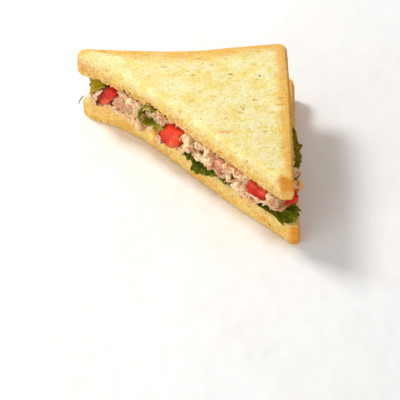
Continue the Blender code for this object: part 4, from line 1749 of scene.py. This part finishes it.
@dataclass(frozen=True)
class Dice:
    """A diced piece: a rounded box that leans, with soft dents pressed into it.

    A dent is (x, y, z, depth, spread), on a box that reaches from -1 to 1. Its flesh has painted light
    towards lit and painted shade towards shaded, and has skin at the back.
    """

    name: str
    centre: Triple
    size: Triple
    lean: float
    rise: float
    turn: float
    finish: Finish
    slot: str
    squareness: float = 8.0
    dents: Table = ()
    # directions of the painted light and of the painted shade, in the box's axes
    lit: Triple = (0.4, 0.0, 1.0)
    shaded: Triple = (0.3, 0.0, -1.0)
    nodes: tuple[str, ...] = ()

    def surface(self) -> Surface:
        """The piece: a rounded cube, sheared and turned, with bells pressed in towards its middle.

        Returns:
            The surface, with the marks light (painted light towards lit), dark (painted shade towards shaded)
            and skin.
        """
        shape = rounded_cube(30, self.squareness)
        unit = shape.points
        pressed = np.zeros(len(unit))
        for x, y, z, depth, spread in self.dents:
            pressed += depth * hill(np.linalg.norm(unit - np.array([x, y, z]), axis=1), spread)
        box = unit * np.array(self.size) / 2 * (1 - pressed)[:, None]
        box = box + 0.35 * np.stack([rough(box + 31 * axis, 4.5, 3, 7) for axis in range(3)], axis=1)
        x, y, z = box.T
        leaned = np.stack([x + self.lean * z, y, z + self.rise * x], axis=1)
        angle = math.atan2(ALONG[1], ALONG[0]) + math.radians(self.turn)
        turned = leaned @ np.array(Matrix.Rotation(angle, 3, "Z")).T
        cloud = rough(box, 3.0, 2, 9)
        # light is painted light towards lit, and dark is painted shade towards shaded.
        marks = {
            "light": ease(0.2, 1.0, unit @ np.array(self.lit) + 0.5 * cloud) * 0.8,
            "dark": ease(0.1, 1.3, unit @ np.array(self.shaded) + 0.4 * cloud) * 0.9,
            "skin": ease(0.75, 0.95, unit[:, 1]),
        }
        fine = np.abs(rough(box * [1.0, 1.0, 0.6], 1.6, 2, 17))
        made = Surface(turned + np.array(self.centre), shape.faces, marks)
        return made.raised(0.22 * ease(0.0, 0.35, fine) - 0.22)

    def build(self) -> None:
        """Adds the piece."""
        show(self.surface(), self.name, self.finish, self.nodes)


def tomato(
    node: str,
    centre: Triple,
    size: Triple,
    slant: Triple,
    dents: Table = (),
    finish: Finish = DEEP_TOMATO_FINISH,
    lit: Triple = (0.4, 0.0, 1.0),
    shaded: Triple = (0.3, 0.0, -1.0),
) -> Dice:
    """A diced tomato, its slant given as lean, rise and turn, with the ways its painted light and painted
    shade face.
    """
    return Dice(node + "_dice", centre, size, *slant, finish, "tomato", 8.0, dents, lit, shaded, (node,))


DICED = (
    tomato(
        "tomato_left",
        by_cut(17.0, 4.0, 24.2),
        (8.2, 8.5, 12.8),
        (0.74, -0.24, 8),
        ((-1.0, -1.0, -1.0, 0.2, 0.6),),
        lit=(0.7, 0.0, -1.3),
        shaded=(-2.2, -0.4, -0.7),
    ),
    tomato(
        "tomato_middle",
        by_cut(66.2, 5.4, 23.6),
        (14.0, 11.5, 14.4),
        (0.42, 0.14, -10),
        ((0.2, -1.0, -0.2, 0.16, 0.5), (0.9, -0.9, 0.3, 0.2, 0.4), (-0.9, -0.9, 0.9, 0.2, 0.5)),
        TOMATO_FINISH,
        lit=(1.1, 0.0, -0.1),
        shaded=(-0.2, 0.0, -0.9),
    ),
    tomato(
        "tomato_right",
        by_cut(128.6, 4.0, 25.4),
        (11.6, 8.0, 7.4),
        (0.20, -0.14, 8),
        ((0.25, -0.8, 1.0, 0.4, 0.42), (0.1, -1.0, 0.0, 0.12, 0.4)),
    ),
    tomato(
        "tomato_tip",
        (53.4, -42.4, 22.4),
        (8.0, 6.4, 6.0),
        (0.10, 0.05, 62),
        ((0.4, -1.0, -1.0, 0.3, 0.5),),
        lit=(0.3, -0.4, -1.4),
    ),
    tomato("tomato_side", (55.6, -34.9, 22.2), (5.6, 5.4, 6.2), (0.10, -0.10, 30)),
    tomato("tomato_back", (-12.0, 45.0, 24.0), (11.0, 9.0, 12.0), (0.15, 0.10, 200)),
    Dice(
        name="onion_middle_dice",
        centre=by_cut(102.8, 1.2, 26.6),
        size=(6.0, 4.4, 7.8),
        lean=0.10,
        rise=0.10,
        turn=0,
        finish=ONION_FINISH,
        slot="onion",
        squareness=3.2,
        dents=((-0.7, -0.8, -0.4, 0.3, 0.5), (0.5, -1.0, 0.4, 0.2, 0.4)),
        nodes=("onion_middle",),
    ),
)


@dataclass(frozen=True)
class Kernel:
    """A sweetcorn kernel: a ball drawn to a blunt wedge."""

    node: str
    centre: Triple
    turn: float
    half: Triple = (3.3, 3.0, 4.6)

    def surface(self) -> Surface:
        """The kernel: a rounded cube narrowed by 1 - 0.3z, with a crease at its top.

        Returns:
            The surface, with the marks light (painted light on one side), dark (painted shade underneath) and
            skin.
        """
        shape = rounded_cube(18, 2.5)
        unit = shape.points
        taper = 1 - 0.3 * unit[:, 2]
        crease = 1 - 0.14 * hill(unit[:, 0], 0.3) * ease(0.2, 0.9, unit[:, 2])
        box = unit * np.array(self.half) * np.stack([taper, taper, crease], axis=1)
        turns = Matrix.Rotation(math.radians(self.turn), 3, "Z") @ Matrix.Rotation(0.1, 3, "Y")
        turned = box @ np.array(turns @ Matrix.Rotation(-0.25, 3, "X")).T
        cloud = rough(turned, 3.0, 2, 4)
        # light is painted light on one side, and dark is painted shade underneath.
        marks = {
            "light": ease(-0.3, 0.9, -unit[:, 0] + 0.6 * cloud) * 0.7,
            "dark": ease(0.1, -1.1, unit[:, 2] + 0.5 * cloud) * 0.8,
            "skin": ease(0.1, 1.1, unit[:, 2] + 0.5 * cloud) * 0.7,
        }
        made = Surface(turned + np.array(self.centre), shape.faces, marks)
        return made.raised(0.15 * rough(turned, 2.0, 2, 3))

    def build(self) -> None:
        """Adds the kernel."""
        show(self.surface(), self.node + "_kernel", CORN_FINISH, (self.node,))


KERNELS = (
    Kernel("corn_middle", by_cut(54.4, 2.0, 17.8), 20, (2.9, 2.8, 4.8)),
    Kernel("corn_side", (58.0, -30.6, 20.9), 70, (2.9, 2.8, 2.8)),
    Kernel("corn_back", (22.0, 48.0, 25.0), 150),
)


# ---------------------------------------------------------------- lettuce


RIB_SPREAD, VEIN_SPREAD = 0.08, 0.12  # as shares of the way from one to the next
VEIN_SHARE = 0.35  # a side vein's height beside a rib's
LEAF_EDGE, LEAF_BODY = 0.12, 0.8  # thickness at the frill, and factor on what the rest adds


def bezier(knots: tuple[float | Array, ...], t: Array) -> Array:
    """A point of the cubic curve with four control values.

    Args:
        knots: The control values.
        t: Place on the curve, from 0 to 1.

    Returns:
        The curve's value at each place.
    """
    a, b, c, d = knots
    return a * (1 - t) ** 3 + 3 * b * t * (1 - t) ** 2 + 3 * c * t * t * (1 - t) + d * t**3


def leaf_middle(u: Array, v: Array) -> Array:
    """Comes out under the tuna near the middle of the cut, and hangs over the lower slice's edge.

    Inset and height are cubic curves over u, and a bell near v = 0.3 lifts and draws in the hem.

    Args:
        u: Share of the way from the root to the frill.
        v: Place across the leaf, from -1 to 1.

    Returns:
        Points of the sheet.
    """
    along = 94.5 + 13.3 * v * (0.8 + 0.2 * u)
    inset = 1.2 + 0.8 * v + 1.9 * hill(v - 0.3, 0.25)
    hem = 12.3 + 3.3 * v + 1.9 * hill(v - 0.3, 0.3)
    wave = 0.5 * u * np.sin(9.0 * v)
    height = bezier((15.0, 17.5, 18.0, hem), u)
    return on_cut(along, bezier((10.0, 5.0, 1.5 + inset, inset), u) - wave, height)


def leaf_tip(u: Array, v: Array) -> Array:
    """Lies on the lower slice at the front point and sticks out past it.

    It runs straight out over u, with sine waves across v that grow with u and a hem that drops.

    Args:
        u: Share of the way from the root to the frill.
        v: Place across the leaf, from -1 to 1.

    Returns:
        Points of the sheet.
    """
    reach = 20.6 * u + 1.0 * u * np.cos(4.4 * v)
    across = (7.0 * v - (0.9 + 0.25 * np.sin(9.0 * u)) * (1 - v) ** 2 * u**1.4) * (1.05 - 0.35 * u)
    frill = 0.9 * u * u * np.sin(6.5 * v + 1.0) - 1.1 * u**6 - 0.35 * (1 - v) ** 2 * u
    height = LOWER_TOP + 1.6 + 1.5 * u * (1 - u) + frill + 1.6 * u
    ahead, side = 0.645, 0.762  # the leaf's direction on the plan
    x = 43.2 + ahead * reach + side * across
    y = -34.0 - side * reach + ahead * across
    return np.stack([x, y, height], axis=-1)


def leaf_side(u: Array, v: Array) -> Array:
    """Lies on the lower slice and shows a frilled, notched edge along the right side.

    It rises with the square of u, and its sine waves across v grow with the cube of u.

    Args:
        u: Share of the way from the root to the frill.
        v: Place across the leaf, from -1 to 1.

    Returns:
        Points of the sheet.
    """
    notch = 1.8 * hill(v - 0.03, 0.07) * u**6
    reach = u * (16.3 - 4.5 * v * v + 0.7 * np.cos(6.0 * v)) - notch
    frill = 1.8 * u**3 * np.sin(10.5 * v)
    height = LOWER_TOP + 1.25 + 2.4 * u * u + frill
    return np.stack([46.2 + reach, 23.6 * v * (0.80 + 0.20 * u) - 2.0, height], axis=-1)


def leaf_left(u: Array, v: Array) -> Array:
    """Hangs crumpled from under the upper slice at the left point.

    It drops with the power 1.4 of u, and folds in a sine wave over v that turns with u.

    Args:
        u: Share of the way from the root to the frill.
        v: Place across the leaf, from -1 to 1.

    Returns:
        Points of the sheet.
    """
    reach = 10.8 * u + 0.8 * u * np.cos(6.0 * v)
    across = v * (3.4 + 2.2 * u)
    fold = 1.7 * u * np.sin(5.0 * v + 2.6 * u)
    height = UPPER_FOOT - 1.9 - 6.4 * u * np.abs(u) ** 0.4 + fold
    return np.stack([-39.8 - reach, 42.2 + 0.50 * reach + across, height], axis=-1)


def leaf_back(u: Array, v: Array) -> Array:
    """Shows a frilled edge along the back, with the rise and the waves of the one on the right.

    Args:
        u: Share of the way from the root to the frill.
        v: Place across the leaf, from -1 to 1.

    Returns:
        Points of the sheet.
    """
    reach = 13.0 * u + 1.0 * u * np.sin(8.0 * v + 2.0)
    frill = 2.0 * u**3 * np.sin(10.0 * v + 1.0)
    height = LOWER_TOP + 1.25 + 2.2 * u * u + frill
    return np.stack([14.0 + 18.0 * v * (0.80 + 0.20 * u), 41.4 + reach, height], axis=-1)


def leaf_scrap(u: Array, v: Array) -> Array:
    """A small ruffled bit that peeps out of the tuna low in the middle of the cut.

    It comes out and drops evenly over u, in two sine waves across v.

    Args:
        u: Share of the way from the root to the frill.
        v: Place across the leaf, from -1 to 1.

    Returns:
        Points of the sheet.
    """
    along = 81.0 + 4.6 * v
    height = 19.4 - 2.6 * u - 0.5 * v + 0.9 * u * np.sin(5.0 * v)
    return on_cut(along, 5.0 - 4.6 * u + 0.5 * u * np.sin(7.0 * v), height)


@dataclass(frozen=True)
class Roll:
    """A strip of leaf that stands on a path of the cut, given as (along, height), and is drawn out of it.

    It reaches from an inner inset to an outer one, given for the path's start and for the rest.
    """

    path: tuple[tuple[float, float], ...]
    inner: float
    outer: tuple[float, float]

    def sheet(self, u: Array, v: Array) -> Array:
        """A smooth curve through the path's points, carried from the inner to the outer inset.

        Between two points it is the cubic whose slope at each is half the way between its neighbours.

        Args:
            u: Share of the way from the inner to the outer inset.
            v: Place on the curve, from -1 to 1.

        Returns:
            The points.
        """
        path = np.array(self.path)
        path = np.concatenate([2 * path[:1] - path[1:2], path, 2 * path[-1:] - path[-2:-1]])
        place = (v + 1) / 2 * (len(self.path) - 1)
        first = np.clip(np.floor(place), 0, len(self.path) - 2).astype(int)
        t = (place - first)[..., None]
        a, b, c, d = (path[first + step] for step in range(4))
        spot = b + 0.5 * t * (c - a + t * (2 * a - 5 * b + 4 * c - d + t * (3 * (b - c) + d - a)))
        outer = self.outer[0] + (self.outer[1] - self.outer[0]) * ease(-0.9, -0.5, v)
        inset = self.inner + (outer - self.inner) * u + 0.3 * u * np.sin(9.0 * v)
        return on_cut(spot[..., 0], inset, spot[..., 1])


@dataclass(frozen=True)
class Leaf:
    """A lettuce leaf: a sheet over (u, v), with u from its root to its frill and v across it."""

    name: str
    sheet: Sheet
    ribs: float
    ruffle: float
    finish: LeafFinish
    steps: tuple[int, int] = (90, 120)
    seed: int = 0
    nodes: tuple[str, ...] = ()
    jag: float = 0.07
    shade: float = 0.25

    def surface(self) -> Surface:
        """The leaf: its sheet with a jagged hem, ribs, ruffles that grow towards the frill, and a thin edge.

        The hem is cut back by noise over v. Ribs branch into veins that run back from them.

        Returns:
            The closed surface, with the marks vein, frill and shade.
        """
        u = np.linspace(0, 1, self.steps[0])[:, None] + np.zeros(self.steps[1])
        v = np.linspace(-1, 1, self.steps[1])[None, :] + 0 * u
        hem = rough(np.stack([9.0 * v, 0 * v, 0 * v], axis=-1), 1.5, 3, self.seed + 20)
        points = self.sheet(u * (1 - self.jag * (0.5 + hem) * u**3), v)
        bend = 0.25 * np.sin(3.0 * u + 2.0 * v)
        across = np.mod(self.ribs * (v * (1.15 - 0.3 * u) + bend), 1.0)
        rib = hill(across - 0.5, RIB_SPREAD) * ease(1.0, 0.75, u)
        branch = np.mod(9.0 * (u - 0.5 * np.abs(np.sin(math.pi * self.ribs * v))), 1.0)
        vein = np.clip(rib + VEIN_SHARE * hill(branch - 0.5, VEIN_SPREAD), 0, 1)
        flat = Surface(points.reshape(-1, 3), [grid_quads(*self.steps, False)])
        normal = flat.normals().reshape(points.shape)
        ruffle = self.ruffle * ease(0.35, 1.0, u) * rough(points, 3.4, 2, self.seed)
        ruffle += 0.5 * self.ruffle * ease(0.75, 1.0, u) * noise(points, 1.6, self.seed + 3)
        crumple = 0.4 * rough(points, 2.4, 3, self.seed + 5)
        moved = points + normal * (ruffle + crumple)[..., None]
        thickness = (0.5 + 0.2 * vein) * ease(1.06, 0.7, u) * LEAF_BODY + LEAF_EDGE
        frill = ease(0.72, 1.0, u + 0.12 * rough(points, 3.0, 2, self.seed + 9))
        return leaf_solid(moved, thickness, {"vein": vein, "frill": frill, "shade": ease(self.shade, 0.0, u)})

    def build(self) -> None:
        """Adds the leaf."""
        show(self.surface(), self.name, self.finish, self.nodes)


CURL = Roll(
    (
        *((48.4, 33.8), (46.0, 32.4), (44.2, 28.6), (44.3, 24.6)),
        *((47.6, 22.6), (51.4, 23.8), (56.0, 26.2), (62.6, 26.8)),
    ),
    8.0,
    (0.4, -0.6),
)
FOLD = Roll(((46.6, 31.8), (48.6, 33.6), (51.2, 33.8), (53.4, 32.6)), 4.0, (0.2, 0.2))
LEAVES = (
    Leaf("leaf_middle", leaf_middle, 3.2, 0.5, DEEP_GREEN, (90, 130), 1, ("lettuce_middle",)),
    Leaf("leaf_tip", leaf_tip, 2.2, 0.5, TIP_GREEN, (90, 90), 2, ("lettuce_tip",)),
    Leaf("leaf_side", leaf_side, 5.0, 0.7, MID_GREEN, (70, 150), 3, ("lettuce_side",)),
    Leaf("leaf_left", leaf_left, 2.0, 0.9, OLIVE, (80, 80), 4, ("lettuce_left",), jag=0.16),
    Leaf("leaf_back", leaf_back, 5.0, 0.7, MID_GREEN, (70, 150), 6, ("lettuce_back",)),
    Leaf("leaf_curl", CURL.sheet, 2.4, 0.35, CURL_GREEN, (70, 150), 8, ("lettuce_curl",), jag=0.04),
    Leaf("leaf_fold", FOLD.sheet, 1.2, 0.25, PALE_GREEN, (40, 60), 9, jag=0.04),
    Leaf("leaf_scrap", leaf_scrap, 1.5, 0.4, DEEP_GREEN, (40, 60), 12),
)


@dataclass(frozen=True)
class Thread:
    """A thin torn thread of leaf: a tube along a path."""

    name: str
    path: tuple[Triple, ...]
    radius: float = 0.35
    steps: int = 24

    def surface(self) -> Surface:
        """The thread, its corners smoothed and its ends thinned with the fourth power of the distance.

        Returns:
            The closed surface, with the marks vein, frill and shade.
        """
        after = np.arange(1, self.steps)
        stretches = np.stack([after - 1, after, after], axis=1)  # one flat face for each, to smooth along
        line = Surface(strung(self.path, self.steps), [stretches]).relaxed(4).points
        radii = self.radius * (1 - 0.7 * np.linspace(-1, 1, self.steps) ** 4)
        made = tubes(line[None], radii[None], 8)
        none = np.zeros(len(made.points))
        made.marks = {"vein": noise(made.points, 2.0, 3), "frill": none + 0.4, "shade": none}
        return made

    def build(self) -> None:
        """Adds the thread."""
        show(self.surface(), self.name, MID_GREEN)


THREAD = Thread(
    "leaf_thread",
    ((-57.2, 53.6, 7.4), (-56.9, 54.2, 9.0), (-55.6, 55.2, 10.4), (-53.8, 55.8, 12.2)),
)


# ---------------------------------------------------------------- studio


@dataclass(frozen=True)
class Lamp:
    """A square lamp that looks at the sandwich: its place and side in metres, and its power in watts."""

    name: str
    place: Triple
    side: float
    power: float

    def build(self) -> None:
        """Hangs the lamp."""
        data = bpy.data.lights.new(self.name, "AREA")
        data.size = self.side
        data.energy = self.power
        made = placed(self.name, data)
        made.location = self.place
        made.rotation_euler = Vector(self.place).to_track_quat("Z", "Y").to_euler()


@dataclass(frozen=True)
class Studio:
    """The floor, the lights and the camera.

    The target and the camera's distance from it are in millimetres and the angles in degrees.
    """

    target: Triple = (8.29, -39.19, 20.0)
    elevation: float = 43.23
    azimuth: float = 0.19
    roll: float = -1.58
    distance: float = 900.0
    lens: float = 159.7
    sensor: float = 36.0
    far_clip: float = 20.0
    daylight: float = 0.50
    floor_reach: float = 1000.0
    floor_lines: int = 41
    lamps: tuple[Lamp, ...] = (
        Lamp("key", (-0.57, 0.46, 0.82), 0.30, 8.0),
        Lamp("fill", (-0.75, -0.75, 0.35), 0.9, 4.5),
    )

    def camera(self) -> None:
        """The camera: it stands back from the target and is rolled about its line of sight."""
        data = bpy.data.cameras.new("camera")
        data.lens = self.lens
        data.sensor_width = self.sensor
        data.clip_end = self.far_clip
        made = placed("camera", data)
        up, around, roll = (math.radians(angle) for angle in (self.elevation, self.azimuth, self.roll))
        back = Vector((math.sin(around) * math.cos(up), -math.cos(around) * math.cos(up), math.sin(up)))
        right = Vector((0, 0, 1)).cross(back).normalized()
        above = back.cross(right)
        first = math.cos(roll) * right + math.sin(roll) * above
        second = -math.sin(roll) * right + math.cos(roll) * above
        spot = (Vector(self.target) - Vector(PLAN_ZERO) + back * self.distance) * MM
        made.matrix_world = Matrix.Translation(spot) @ Matrix((first, second, back)).transposed().to_4x4()
        bpy.context.scene.camera = made

    def floor(self) -> None:
        """A wide flat floor."""
        reach = np.linspace(-self.floor_reach, self.floor_reach, self.floor_lines)
        across, away = np.meshgrid(reach, reach)
        points = np.stack([across, away, np.zeros_like(across)], axis=-1).reshape(-1, 3)
        quads = grid_quads(self.floor_lines, self.floor_lines, False)
        made = placed("floor", Surface(points, [quads]).mesh("floor"))
        made.data.materials.append(FLOOR_FINISH.material())

    def build(self) -> None:
        """Adds floor, lights and camera."""
        self.floor()
        world = bpy.data.worlds.new("room")
        world.use_nodes = True
        light = world.node_tree.nodes["Background"].inputs
        light["Color"].default_value = (1.0, 1.0, 1.0, 1.0)
        light["Strength"].default_value = self.daylight
        bpy.context.scene.world = world
        bpy.context.scene.view_settings.view_transform = "Standard"
        for lamp in self.lamps:
            lamp.build()
        self.camera()


def main() -> None:
    """Builds the sandwich and the studio."""
    logging.basicConfig(level=logging.INFO, format="%(message)s")
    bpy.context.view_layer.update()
    for piece in (UPPER, LOWER, Salad(), *SMEARS, *DICED, *KERNELS, *LEAVES, THREAD, Studio()):
        piece.build()


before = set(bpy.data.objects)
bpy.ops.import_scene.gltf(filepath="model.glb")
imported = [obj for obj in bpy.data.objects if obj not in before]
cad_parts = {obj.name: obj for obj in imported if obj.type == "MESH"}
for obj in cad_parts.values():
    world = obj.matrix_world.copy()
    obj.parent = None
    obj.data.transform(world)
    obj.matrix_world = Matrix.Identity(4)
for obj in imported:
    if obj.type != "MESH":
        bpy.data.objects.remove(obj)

if __name__ == "__main__":
    main()
